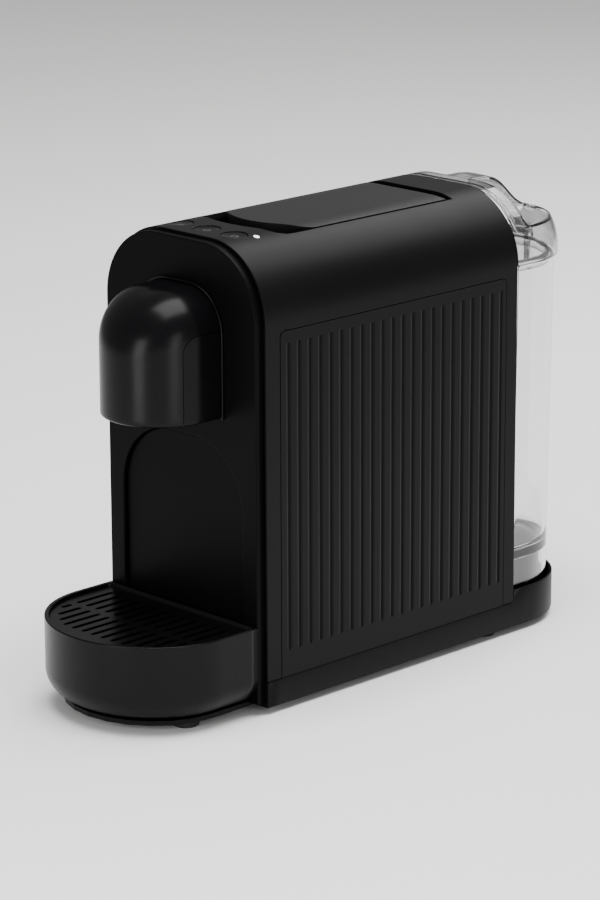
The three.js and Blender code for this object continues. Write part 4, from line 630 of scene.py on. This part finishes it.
def lever_plate():
    """A plate on the housing's arch: lines run from the nose's arc back to the tail, round the pivot."""
    flat = LEVER_HALF - LEVER_CORNER
    ends = flat + np.array([0.9, 1.8, 2.6, 3.3, 3.75, LEVER_CORNER])
    xs = np.unique(np.r_[np.linspace(-flat, flat, 31), ends, -ends])
    nose = LEVER_NOSE + LEVER_ARC - np.sqrt(LEVER_ARC ** 2 - xs ** 2)
    past = np.clip(np.abs(xs) - flat, 0, LEVER_CORNER)
    nose += LEVER_CORNER - np.sqrt(LEVER_CORNER ** 2 - past ** 2)
    share = np.linspace(0, 1, 40)
    y = nose[:, None] * (1 - share) + PIVOT_Y * share
    roll = PIVOT_Y + TAIL_RADIUS * np.sin(np.linspace(0, np.pi / 2, 20)[1:])
    y = np.concatenate([y, np.broadcast_to(roll, (len(xs), len(roll)))], axis=1)
    x = xs[:, None] + 0 * y
    tail = PIVOT_Z + np.sqrt(np.clip(TAIL_RADIUS ** 2 - np.clip(y - PIVOT_Y, 0, TAIL_RADIUS) ** 2, 0, None))
    return sheet(np.stack([x, y, np.minimum(arch_height(x), tail)], -1))


piece("lever_plate", [lever_plate()], "lever", lever_abs, ["lever"],
      wall=4.6, edge=0.8, edge_steps=3, middle=(0, 100, 200))


def rounded_bar(outline, low, high, edge=0.5):
    """An outline in y and z given a width along x; its end rings shrink inwards, as small round edges."""
    outline = np.asarray(outline, float)
    ahead, behind = np.roll(outline, -1, axis=0), np.roll(outline, 1, axis=0)
    along = (ahead - behind) / np.linalg.norm(ahead - behind, axis=1)[:, None]
    inward = np.column_stack([-along[:, 1], along[:, 0]])
    turn = np.sum(outline[:, 0] * ahead[:, 1] - ahead[:, 0] * outline[:, 1])
    inward *= np.sign(turn)
    corner = bend((edge, edge), edge, 270, 180, 3)
    rings = [np.insert(outline + inward * inset, 0, low + rise, axis=1) for inset, rise in corner]
    rings += [np.insert(outline + inward * inset, 0, high - rise, axis=1) for inset, rise in corner[::-1]]
    rings = np.stack(rings)
    return [sheet(rings, "v"), fan(rings[0]), fan(rings[-1])]


knee_low, knee_high = span_of("knee_pin")
KNEE = (knee_low + knee_high)[1:] / 2
arm = stack(bend(KNEE, 5, 120, 330, 14), bend((PIVOT_Y, PIVOT_Z), HUB_RADIUS, 300, 430, 10),
            (PIVOT_Y - 2, ARM_TOP), (KNEE[0] - 1, ARM_TOP))
piece("lever_arm", rounded_bar(arm, -6, 6), "lever", lever_abs)
hub = bend((PIVOT_Y, PIVOT_Z), HUB_RADIUS, 0, 350, 35)
piece("lever_hub", rounded_bar(hub, -LEVER_HALF, LEVER_HALF), "lever", lever_abs)


def button_height(x, y, at):
    """A button's face: the housing's arch, a little lower, less three quarters of a shallow ball's cap."""
    radius = np.hypot(x - at, y - BUTTON_Y)
    return arch_height(x) - 0.2 - (np.sqrt(24.0 ** 2 - radius ** 2) - 22.8) * 0.75


def button_cap(at):
    """Rings of the dished face, a small round edge, then the skirt down to its flange."""
    angle = np.linspace(0, 2 * np.pi, 56, endpoint=False)
    rows = stack(np.column_stack([np.r_[0, np.linspace(0.8, 6.3, 10)], np.zeros(11)]),
                 bend((6.35, -0.4), 0.4, 90, 0, 4), (6.75, -4), (6.75, -5), (7.9, -5), (7.9, -6.2), (0, -6.2))
    x, y = at + rows[:, :1] * np.cos(angle), BUTTON_Y + rows[:, :1] * np.sin(angle)
    face = button_height(x, y, at)
    flat = face.mean()
    z = np.where(rows[:, 1:] > -1, face + rows[:, 1:], flat + rows[:, 1:])
    return sheet(np.stack([x, y, z], -1), "v")


def stroke(points, width, at):
    """A printed line on a button: a ribbon of the given width along a path, lying on the dished face."""
    points = np.asarray(points, float)
    along = np.gradient(points, axis=0)
    side = np.column_stack([-along[:, 1], along[:, 0]]) / np.linalg.norm(along, axis=1)[:, None]
    flat = np.stack([points - side * width / 2, points, points + side * width / 2]) + (at, BUTTON_Y)
    height = button_height(flat[..., 0], flat[..., 1], at)
    low = np.dstack([flat, height - 0.05])
    high = np.dstack([flat[::-1], height[::-1] + 0.05])
    loop = np.concatenate([low, high])
    return [sheet(loop, "u"), fan(loop[:, 0]), fan(loop[:, -1])]


def cup_symbol(wide, tall, at):
    """A cup drawn with three strokes: its bowl, which narrows to the foot, its rim and its handle."""
    foot, low, high = wide * 0.7, 0.5 - tall / 2, tall / 2
    bowl = stack(line((-wide, high), (-foot, low), 6), bend((0.5 - foot, low), 0.5, 180, 270, 4),
                 bend((foot - 0.5, low), 0.5, 270, 360, 4), line((foot, low), (wide, high), 6))
    rim = line((-wide, high), (wide, high), 8)
    handle = bend((wide * 0.9, 0.1), 0.75, 70, -70, 10)
    return stroke(bowl, 0.32, at) + stroke(rim, 0.32, at) + stroke(handle, 0.3, at)


def power_symbol(at):
    """An open ring with a short upright stroke in its gap."""
    return stroke(bend((0, 0), 1.8, 125, 415, 30), 0.34, at) + stroke(line((0, 0.5), (0, 2.3), 5), 0.34, at)


symbols = (cup_symbol(1.5, 2.2, BUTTON_XS[0]), power_symbol(BUTTON_XS[1]), cup_symbol(1.6, 3.4, BUTTON_XS[2]))
for at, label, symbol in zip(BUTTON_XS, ("right", "middle", "left"), symbols):
    body = f"button_{label}"
    piece(f"button_cap_{label}", [button_cap(at)], body, satin_abs, [body])
    piece(f"button_symbol_{label}", symbol, body, ink)

LAMP, LAMP_RADIUS = (28.0, 22.0), 1.6


def lamp_dome():
    """A low dome on the housing's corner: height over the arch falls with the square of the radius."""
    angle = np.linspace(0, 2 * np.pi, 32, endpoint=False)
    radius = np.linspace(0, LAMP_RADIUS, 8)[:, None]
    x, y = LAMP[0] + radius * np.cos(angle), LAMP[1] + radius * np.sin(angle)
    high = arch_height(x) + 0.25 * (1 - (radius / LAMP_RADIUS) ** 2) + 0.02
    foot = np.stack([x[-1], y[-1], high[-1] - 4], -1)[None]
    return [sheet(np.concatenate([np.stack([x, y, high], -1), foot]), "v"), fan(foot[0])]


piece("lamp_lens", lamp_dome(), "housing", lamp, ["status_light"])

# ---------------------------------------------------------------- drip tray, grille and capsule bin

TRAY_LOW, TRAY_HIGH = span_of("drip_tray")
TRAY_TOP, TRAY_FOOT, TRAY_FRONT = TRAY_HIGH[2], TRAY_LOW[2], TRAY_LOW[1]
TRAY_REAR, TRAY_HALF = FACE - FIT, HALF - 0.9
TRAY_BEND = TRAY_REAR - 24.3
TRAY_FILLET, TRAY_WALL = 14.0, 2.4


def tray_plan(inset, rear=TRAY_REAR):
    """The tray's plan: straight sides from the open rear, then half an ellipse to the front."""
    half, reach = TRAY_HALF - inset, TRAY_BEND - TRAY_FRONT - inset
    angle = np.linspace(0, -np.pi, 73)
    front = np.column_stack([half * np.cos(angle), TRAY_BEND + reach * np.sin(angle)])
    right = line((half, rear), (half, TRAY_BEND), 5)
    return stack(right, front, (right * (-1, 1))[::-1])


def tray_bowl():
    """Rows up the outside from the floor, over the rim and down the inside, each with its own inset."""
    foot = bend((TRAY_FILLET, TRAY_FOOT + TRAY_FILLET), TRAY_FILLET, 270, 180, 12)
    rim = stack(bend((0.7, TRAY_TOP - 0.7), 0.7, 180, 90, 4), bend((1.9, TRAY_TOP - 0.5), 0.5, 90, 0, 3))
    ledge = TRAY_TOP - 4.0
    basin = bend((16, 21.4), 11.6, 180, 270, 8)
    inner = stack((2.4, ledge + 0.3), (2.7, ledge), (4.1, ledge), (4.4, ledge - 0.3), basin)
    rows = stack(foot, rim, inner)
    walls = upright(tray_plan, rows)
    centre = lambda row: np.column_stack([row[:, 0] * 0, np.clip(row[:, 1], -60, TRAY_REAR), row[:, 2]])
    under = np.stack([centre(walls[0]) * (1 - s) + walls[0] * s for s in (0, 0.35, 0.7)])
    floor = np.stack([centre(walls[-1]) * (1 - s) + walls[-1] * s for s in (0.7, 0.35, 0)])
    skin = np.concatenate([under, walls, floor])
    split = len(under) + len(foot) + len(rim) - 1
    skin[split:, :, 1] = np.minimum(skin[split:, :, 1], TRAY_REAR - TRAY_WALL)
    left, right = skin[:, 0], skin[:, -1]
    share = np.linspace(0, 1, 13)[:, None, None]
    rear = right[None] * (1 - share) + left[None] * share
    return [sheet(skin), sheet(rear)]


piece("drip_tray_bowl", tray_bowl(), "tray", satin_abs, ["drip_tray"], middle=(0, -40, 20))
TONGUE_HALF, TONGUE_FRONT, TONGUE_REAR = 36.5, TRAY_REAR - 1.9, TRAY_HIGH[1]


def tongue(inset):
    """The plan of the plate that carries the capsule bin behind the tray: a rectangle."""
    half, rear = TONGUE_HALF - inset, TONGUE_REAR - inset
    return stack(line((half, TONGUE_FRONT), (half, rear)), line((-half, rear), (-half, TONGUE_FRONT)))


tongue_rows = upright(tongue, stack((0.4, 7.3), (0, 7.7), (0, 9.2), (0.4, 9.6)))
piece("drip_tray_tongue", [sheet(tongue_rows, "v"), fan(tongue_rows[0]), fan(tongue_rows[-1])], "tray",
      satin_abs)

PITCH, SLOT_HALF = 7.35, 1.5
GRILLE_TOP = TRAY_TOP - 1.8
GRILLE_INSET = 2.8
GRILLE_REAR = TRAY_REAR - TRAY_WALL - 0.4


def grille_front(x):
    """Where the grille's front edge lies: the tray's ellipse, set in."""
    half, reach = TRAY_HALF - GRILLE_INSET, TRAY_BEND - TRAY_FRONT - GRILLE_INSET
    return TRAY_BEND - reach * np.sqrt(np.clip(1 - (np.asarray(x, float) / half) ** 2, 0, 1))


def slot_sides(x, near, far):
    """A slot with round ends, as its front, right, rear and left runs."""
    r = SLOT_HALF
    front, rear = bend((x, near + r), r, 225, 315, 8), bend((x, far - r), r, 45, 135, 8)
    right = stack(bend((x, near + r), r, 315, 360, 4), bend((x, far - r), r, 0, 45, 4))
    left = stack(bend((x, far - r), r, 135, 180, 4), bend((x, near + r), r, 180, 225, 4))
    return [front, right, rear, left]


def grille():
    """A slotted plate: each slot is ringed by a cell, and the front cells end on the front edge's ellipse."""
    margin, rows, bridge = 6.0, 2, 3.6
    half = TRAY_HALF - GRILLE_INSET
    length = (GRILLE_REAR - margin - (TRAY_FRONT + GRILLE_INSET + margin)) / rows
    split = lambda x: np.maximum(GRILLE_REAR - margin - length + bridge / 2, grille_front(x) + 1.0)
    count = int((half - margin) // PITCH)
    lift = lambda flat: np.concatenate([flat, np.full(flat.shape[:-1] + (1,), GRILLE_TOP)], -1)
    sheets = []
    for column in range(-count, count + 1):
        x = column * PITCH
        xs = np.linspace(x - PITCH / 2, x + PITCH / 2, 7)
        bow = math.sqrt(max(0, 1 - (x / (half - margin + 3)) ** 2))
        reach = (TRAY_BEND - TRAY_FRONT - GRILLE_INSET - margin) * bow
        for row in range(rows):
            far = GRILLE_REAR - margin - row * length
            near = max(far - length + bridge, TRAY_BEND - reach)
            low, high = (grille_front, split) if row else (split, lambda x: GRILLE_REAR + 0 * x)
            ys = np.linspace(0, 1, 13)
            if far - near < 3 * SLOT_HALF:
                flat = np.stack([np.column_stack([xs, low(xs) * (1 - s) + high(xs) * s]) for s in ys])
                sheets.append(sheet(lift(flat)))
                continue
            ring = ring_patch(xs, ys, slot_sides(x, near, far), 3)
            base, end = low(ring[-1, :, 0]), high(ring[-1, :, 0])
            ring[-1, :, 1] = base + (end - base) * ring[-1, :, 1]
            fade = np.linspace(0, 1, len(ring))[1:-1, None, None]
            ring[1:-1] = ring[0] * (1 - fade) + ring[-1] * fade
            sheets.append(sheet(lift(ring)))
    outer = (count + 0.5) * PITCH
    for side in (-1, 1):
        xs = outer + (half - outer) * np.sin(np.linspace(0, np.pi / 2, 7))
        runs = [grille_front(xs) * (1 - s) + split(xs) * s for s in np.linspace(0, 1, 13)]
        runs += [split(xs) * (1 - s) + GRILLE_REAR * s for s in np.linspace(0, 1, 13)[1:]]
        sheets.append(sheet(lift(np.stack([np.column_stack([side * xs, run]) for run in runs]))))
    return sheets


piece("grille_plate", grille(), "grille", satin_abs, ["drip_grille"],
      wall=2.0, edge=0.3, edge_angle=60, middle=(0, -40, 0))

BIN_LOW, BIN_HIGH = span_of("capsule_bin")
BIN_HALF, BIN_TOP = 38.5, 118.0


def bin_face(inset):
    """The bin's front wall: the housing's arch, less a gap."""
    gap = 0.4 + inset
    return arch(ARCH_HALF - gap, BIN_LOW[2], ARCH_TOP - gap, ARCH_RADIUS - gap)


def bin_box(inset):
    """A rectangle with round corners."""
    half, low, high, r = BIN_HALF - inset, BIN_LOW[1] + 1.9 + inset, BIN_HIGH[1] - inset, 6 - inset
    return stack(bend((half - r, low + r), r, -90, 0, 6), bend((half - r, high - r), r, 0, 90, 6),
                 bend((r - half, high - r), r, 90, 180, 6), bend((r - half, low + r), r, 180, 270, 6))


def between_halves(arc):
    """Closes an arch: each point is joined to the one across from it."""
    return sheet(np.stack([arc, arc[::-1]])[:, :len(arc) // 2 + 1])


face = lengthwise(bin_face, stack((0, -1.4), bend((0.5, -2.9), 0.5, 180, 270, 3)))
piece("bin_front", [sheet(face), between_halves(face[-1]), between_halves(face[0]),
                    sheet(np.stack([face[:, 0], face[:, -1]]))],
      "tray", fascia_abs, ["capsule_bin"])
BIN_FOOT = BIN_LOW[2]
box_rows = upright(bin_box, stack((0.6, BIN_FOOT), (0, BIN_FOOT + 0.6), (0, BIN_TOP - 0.5), (0.5, BIN_TOP),
                                  (1.5, BIN_TOP), (2, BIN_TOP - 0.5), (2, BIN_FOOT + 3), (3, BIN_FOOT + 2)))
piece("bin_box", [sheet(box_rows, "v"), fan(box_rows[0]), fan(box_rows[-1])], "tray", fascia_abs)

# ---------------------------------------------------------------- base and feet

BASE_FOOT, RIM_TOP, LEDGE = span_of("base_chassis")[0][2], 24.8, 17.3
REAR_RADIUS, REAR_FILLET = 45.0, 16.0
SKIN = 0.12


def base_plan(inset):
    """The base's plan: straight sides and a rear with large round corners."""
    return rear_plan(HALF + SKIN - inset, 0, REAR + SKIN - inset, REAR_RADIUS + SKIN - inset, 24, 30, 8)


def keel(y):
    """Height of the underside: level, then a quarter circle up to the rear."""
    past = np.clip(y - (REAR - REAR_FILLET), 0, REAR_FILLET)
    return BASE_FOOT + REAR_FILLET - np.sqrt(REAR_FILLET ** 2 - past ** 2)


def base_skirt():
    """The base's wall: low under the housing, a higher rim round the tank, and over the rim to its inside."""
    plan = base_plan(0)
    low = keel(plan[:, 1]) - SKIN
    high = np.where(plan[:, 1] > DEPTH + 0.2, RIM_TOP - 0.4, LEDGE)
    rows = [np.column_stack([base_plan(inset), low + (high - low) * share])
            for inset, share in ((1.0, 0), (0.35, 0), (0, 0.06), (0, 1))]
    rows += [np.column_stack([base_plan(inset), high + rise])
             for inset, rise in ((0.12, 0.28), (0.4, 0.4), (0.9, 0.4), (1.3, 0.1), (1.4, -9.0))]
    return sheet(np.stack(rows))


def base_keel():
    """The underside's rear: lines across the plan, as wide as the rear corners' quarter circles leave it."""
    ys = REAR - REAR_FILLET + REAR_FILLET * np.sin(np.linspace(0, np.pi / 2, 17))
    past = np.clip(ys - (REAR - REAR_RADIUS), 0, None)
    wide = HALF - REAR_RADIUS + np.sqrt(np.clip(REAR_RADIUS ** 2 - past ** 2, 0, None))
    x = wide[:, None] * np.linspace(-1, 1, 25)
    y = ys[:, None] + 0 * x
    return sheet(np.stack([x, y, keel(y) - SKIN], -1))


piece("base_skirt", [base_skirt()], "housing", housing_abs, wall=0.1, middle=(0, 120, 14))
piece("base_keel", [base_keel()], "housing", housing_abs, wall=0.1, middle=(0, 200, 60))

# (radius, height): the pad's round foot and flank, then its plug in the base.
pad_rows = stack((0, 0), (5.6, 0), bend((6.2, 0.8), 0.8, 270, 360, 4), (7, 3.4),
                 bend((6.5, 3.4), 0.5, 0, 90, 3), (2.3, 3.9), (2.3, 5.2), (0, 5.2))

for name in ("foot_front_right", "foot_front_left", "foot_rear_right", "foot_rear_left"):
    low, high = span_of(name)
    piece(f"pad_{name}", [turned((low + high)[:2] / 2, pad_rows)], "housing", rubber, [name])

# ---------------------------------------------------------------- water tank

TANK_FRONT, TANK_REAR, TANK_HALF, TANK_RADIUS = DEPTH + 0.5, REAR - 2.5, 56.0, 42.5
SEAM, TANK_FOOT, TANK_FLOOR, TANK_UNDER, TANK_WALL = 205.8, 15.0, 43.6, 40.5, 2.2
TANK_LEAN = 2
VALVE, VALVE_HOLE = (0.0, (TANK_FRONT + REAR) / 2 - 2), 6.5


def tank_ring(inset, z):
    """The tank's closed plan at one height: it leans in towards the foot; its front corners are small."""
    half, front, rear, r = TANK_HALF - inset, TANK_FRONT + inset, TANK_REAR - inset, TANK_RADIUS - inset
    small = max(0.3, 3.0 - inset)
    plan = stack(bend((half - small, front + small), small, -90, 0, 5),
                 line((half, front + small), (half, rear - r), 4), bend((half - r, rear - r), r, 0, 90, 28),
                 line((half - r, rear), (r - half, rear), 6), bend((r - half, rear - r), r, 90, 180, 28),
                 line((-half, rear - r), (-half, front + small), 4),
                 bend((small - half, front + small), small, 180, 270, 5),
                 line((small - half, front), (half - small, front), 16)[:-1])
    lean = TANK_LEAN * max(0.0, 1 - (z - TANK_FOOT) / (SEAM - TANK_FOOT))
    x = plan[:, 0] * (1 - lean / TANK_HALF)
    y = TANK_FRONT + (plan[:, 1] - TANK_FRONT) * (1 - lean / 59)
    return np.column_stack([x, y, np.full(len(x), z)])


def valve_hole(row, z):
    """A row's points moved in, each along its own direction, to the round hole for the valve."""
    around = np.arctan2(row[:, 1] - VALVE[1], row[:, 0] - VALVE[0])
    return np.column_stack([VALVE[0] + VALVE_HOLE * np.cos(around), VALVE[1] + VALVE_HOLE * np.sin(around),
                            np.full(len(row), z)])


def tank_body():
    """One closed skin of (inset, height) rows, between the floor's two sides of the valve's hole."""
    skirt = stack((6, TANK_UNDER), (2.6, TANK_UNDER), (TANK_WALL, TANK_UNDER - 0.4),
                  (TANK_WALL, TANK_FOOT + 0.6), (1.6, TANK_FOOT), (0.6, TANK_FOOT), (0, TANK_FOOT + 0.6))
    outside = stack(line((0, 40), (0, SEAM - 6), 7), (0, SEAM - 2), (0, SEAM - 1))
    rim = stack((0.3, SEAM - 0.5), (0.8, SEAM - FIT), (1.6, SEAM - FIT), (TANK_WALL, SEAM - 0.9))
    inside = stack((TANK_WALL, SEAM - 1.8), line((TANK_WALL, SEAM - 6), (TANK_WALL, 52), 5),
                   bend((TANK_WALL + 5.5, TANK_FLOOR + 5.5), 5.5, 180, 270, 6))
    rows = [tank_ring(inset, z) for inset, z in stack(skirt, outside, rim, inside)]
    rows = [valve_hole(rows[0], TANK_UNDER)] + rows + [valve_hole(rows[-1], TANK_FLOOR)]
    return sheet(np.stack(rows), "uv")


piece("tank_body", [tank_body()], "tank", clear_san, ["water_tank"])

EAR_Y, HINGE_Z = REAR - 3, SEAM + 4.2
for at, label in ((-14, "right"), (14, "left")):
    ear = stack(bend((EAR_Y, HINGE_Z), 3, -10, 190, 16), (EAR_Y - 3, SEAM - 12), (EAR_Y - 0.6, SEAM - 12))
    piece(f"tank_ear_{label}", rounded_bar(ear, at - 1.5, at + 1.5, 0.4), "tank", clear_san)

# ---------------------------------------------------------------- lid

LID_FRONT = TANK_FRONT
SCOOP_Y, BAR_HALF, SCOOP_Z = LID_FRONT + 12.5, 11.0, 225.0
LID_BROW = 33.0


def lid_ring(z):
    """The lid's plan at one height: the sides follow the housing's arch, the rear the brow's curve."""
    half = HALF - CORNER + math.sqrt(CORNER ** 2 - max(0.0, z - (TOP - CORNER)) ** 2)
    rear = REAR - LID_BROW + math.sqrt(LID_BROW ** 2 - max(0.0, z - (TOP - LID_BROW)) ** 2)
    return half, rear, REAR_RADIUS - (HALF - half)


def lid_skirt(top):
    """The lid's wall: the top sheet's rim, spread outwards on its way down to the seam."""
    rim = np.vstack([top[:, 0], top[-1, 1:-1], top[::-1, -1]])
    half, rear, _ = lid_ring(SCOOP_Z)
    rows = []
    for z in np.r_[SEAM, SEAM + 0.5, SEAM + 1.2, np.linspace(SEAM + 3, SCOOP_Z, 8)]:
        wide, far, _ = lid_ring(z)
        y = LID_FRONT + (rim[:, 1] - LID_FRONT) * (far - LID_FRONT) / (rear - LID_FRONT)
        rows.append(np.column_stack([rim[:, 0] * wide / half, y, rim[:, 2] + z - SCOOP_Z]))
    return np.stack(rows)


def bar_height(y):
    """The centre bar's profile: level, a shoulder, a slope and a small lip at the rear."""
    y = np.asarray(y, float)
    knots = np.array([LID_FRONT, SCOOP_Y, 210, 216, 221, 225, 229, 233, 237, 240.5, 243.3, REAR])
    drops = np.array([0, 0, 0.1, 0.7, 2.2, 4.6, 8, 11.8, 15.4, 17.6, TOP - SCOOP_Z - 0.4, TOP - SCOOP_Z])
    return np.interp(y, knots, TOP - drops)


def lid_top():
    """Height over the plan: the arch in front, then the centre bar and its eased walls between two scoops."""
    half, rear, radius = lid_ring(SCOOP_Z)
    ys = np.unique(np.r_[LID_FRONT + np.array([0, 0.8, 1.6, 2.3, 2.6, 2.9, 3.3]),
                         np.linspace(LID_FRONT + 5, SCOOP_Y - 1.6, 5), SCOOP_Y + np.linspace(-1.2, 3.2, 14),
                         np.linspace(SCOOP_Y + 4, rear - 3, 26), rear - np.array([2, 1.2, 0.5, 0])])
    wide = half - radius + np.sqrt(np.clip(radius ** 2 - np.clip(ys - (rear - radius), 0, None) ** 2, 0, None))
    bar = np.array([0, 3, 6, 8, 9.2, 9.8, 10.2, 10.6, 11.0, 11.4, 11.8])
    out = np.r_[0.05, np.linspace(0.12, 0.9, 14), 0.94, 0.97, 1.0]
    share = np.concatenate([np.zeros(len(bar)), out])
    fixed = np.concatenate([bar, np.full(len(out), bar[-1])])
    x = fixed[None, :] + share[None, :] * np.maximum(wide[:, None] - bar[-1], 0)
    x = np.minimum(x, wide[:, None])
    x = np.concatenate([-x[:, ::-1][:, :-1], x], axis=1)
    y = ys[:, None] + 0 * x
    rim = np.minimum(1, (wide[:, None] - np.abs(x)) / 5)
    floor = SCOOP_Z - 1.6 * ease(0.02, 1, rim)
    past = np.clip(y - (REAR - LID_BROW), 0, LID_BROW)
    brow = TOP - LID_BROW + np.sqrt(LID_BROW ** 2 - past ** 2)
    band = 0.45 * ease(LID_FRONT + 2.2, LID_FRONT + 2.6, y) * (1 - ease(LID_FRONT + 2.9, LID_FRONT + 3.3, y))
    front = np.minimum(arch_height(x), brow) - band
    bar_top = np.minimum(bar_height(y), brow) - 1.2 * (np.abs(x) / BAR_HALF) ** 4 * (np.abs(x) < 12.5)
    z = floor + (np.maximum(bar_top, floor) - floor) * (1 - ease(9.4, 11.8, np.abs(x)))
    z = z + (front - z) * (1 - ease(SCOOP_Y - 0.8, SCOOP_Y + 2.0, y))
    edge = np.abs(x) >= wide[:, None] - 1e-6
    z = np.where(edge, SCOOP_Z, z)
    z[-1] = SCOOP_Z
    return np.stack([x, y, z], -1)


def lid_skin():
    """The top sheet and the wall that hangs from its rim."""
    top = lid_top()
    return [sheet(lid_skirt(top)), sheet(top)]


piece("lid_skin", lid_skin(), "lid", smoked_san, ["tank_lid"],
      wall=1.7, edge=0.3, edge_angle=70, middle=(0, 215, 215), weld=0.01)
LIP_OUT, LIP_IN = TANK_WALL + 0.5, TANK_WALL + 1.9
# (inset, height over the seam): the plug that holds the lid in the tank's mouth.
lip_rows = ((LIP_OUT + 0.2, -4.2), (LIP_OUT, -4), (LIP_OUT, -2.4), (LIP_OUT, -0.5), (LIP_OUT, 1.6),
            (LIP_IN, 1.6), (LIP_IN, -2), (LIP_IN, -4), (LIP_IN - 0.2, -4.2))
lip = np.stack([tank_ring(inset, SEAM + rise) for inset, rise in lip_rows])
piece("lid_lip", [sheet(lip, "uv")], "lid", smoked_san)
knuckle = stack(bend((EAR_Y, HINGE_Z), 2.8, -160, 90, 16), (EAR_Y - 2.2, HINGE_Z + 6))
piece("lid_knuckle", rounded_bar(knuckle, -11.2, 11.2, 0.4), "lid", smoked_san)

# ---------------------------------------------------------------- finishes on the frame's own pieces

FINISHES = {
    housing_abs: ["rear_wall", "base_chassis"], fascia_abs: ["lever_well"],
    filled_nylon: ["brew_frame", "brew_piston", "pump_coil"],
    acetal: ["tank_valve", "tank_filter", "tank_socket", "flow_meter"],
    rubber: ["pump_mount_lower", "pump_mount_upper", "cord_gland"],
    silicone: ["coffee_channel", "piston_seal", "button_mat", "valve_seal", "suction_hose", "pump_hose",
               "pressure_hose", "brew_hose"],
    steel: ["outlet_plate", "toggle_link", "knee_pin", "lever_pivot_pin", "lid_hinge_pin", "valve_spring",
            "pump_bracket", "thermostat", "base_screw_1", "base_screw_2", "base_screw_3", "base_screw_4"],
    cast_aluminium: ["heater_block"], brass: ["pump_body"], board: ["control_board", "power_board"]}
for material, names in FINISHES.items():
    for name in names:
        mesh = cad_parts[name].data
        mesh.materials.clear()
        mesh.materials.append(material)

# ---------------------------------------------------------------- floor, light and camera

floor_mesh = bpy.data.meshes.new("studio_floor")
floor_mesh.from_pydata([(-12, -12, 0), (12, -12, 0), (12, 12, 0), (-12, 12, 0)], [], [(0, 1, 2, 3)])
floor_mesh.materials.append(floor_paint)
floor = bpy.data.objects.new("studio_floor", floor_mesh)
bpy.context.scene.collection.objects.link(floor)


def softbox(name, place, aim, size, power):
    """A white rectangular soft light that faces a point."""
    data = bpy.data.lights.new(name, "AREA")
    data.shape, data.size, data.size_y, data.energy = "RECTANGLE", size[0], size[1], power
    light = bpy.data.objects.new(name, data)
    bpy.context.scene.collection.objects.link(light)
    light.location = place
    light.visible_camera = False
    light.rotation_euler = (Vector(aim) - Vector(place)).to_track_quat("-Z", "Y").to_euler()


softbox("overhead", (0.25, -0.05, 1.9), (0, 0, 0.1), (1.5, 1.3), 62)
softbox("rear_top", (-0.05, 1.25, 1.3), (0, 0, 0.2), (1.3, 0.8), 17)
softbox("front_strip", (0.075, -0.72, 0.19), (0, -0.1, 0.19), (0.2, 0.36), 1.9)
softbox("side_strip", (0.59, -0.29, 0.19), (0, -0.1, 0.19), (0.18, 0.36), 1.0)

world = bpy.data.worlds.new("studio_room")
world.use_nodes = True
world.node_tree.nodes["Background"].inputs["Color"].default_value = linear("#ffffff")
world.node_tree.nodes["Background"].inputs["Strength"].default_value = 0.35
bpy.context.scene.world = world

CAMERA_TURN, CAMERA_RISE, CAMERA_ROLL = math.radians(45.439), math.radians(15.744), math.radians(-0.208)
level = math.cos(CAMERA_RISE)
back = Vector((math.sin(CAMERA_TURN) * level, -math.cos(CAMERA_TURN) * level, math.sin(CAMERA_RISE)))
across = Vector((math.cos(CAMERA_TURN), math.sin(CAMERA_TURN), 0))
above = back.cross(across)
right = across * math.cos(CAMERA_ROLL) + above * math.sin(CAMERA_ROLL)
up = above * math.cos(CAMERA_ROLL) - across * math.sin(CAMERA_ROLL)
lens = bpy.data.cameras.new("camera")
lens.lens, lens.sensor_width, lens.sensor_fit = 144.8, 36.0, "AUTO"
camera = bpy.data.objects.new("camera", lens)
bpy.context.scene.collection.objects.link(camera)
camera.matrix_world = Matrix(((right.x, up.x, back.x, 1.3154), (right.y, up.y, back.y, -1.2978),
                              (right.z, up.z, back.z, 0.6348), (0, 0, 0, 1)))
bpy.context.scene.camera = camera
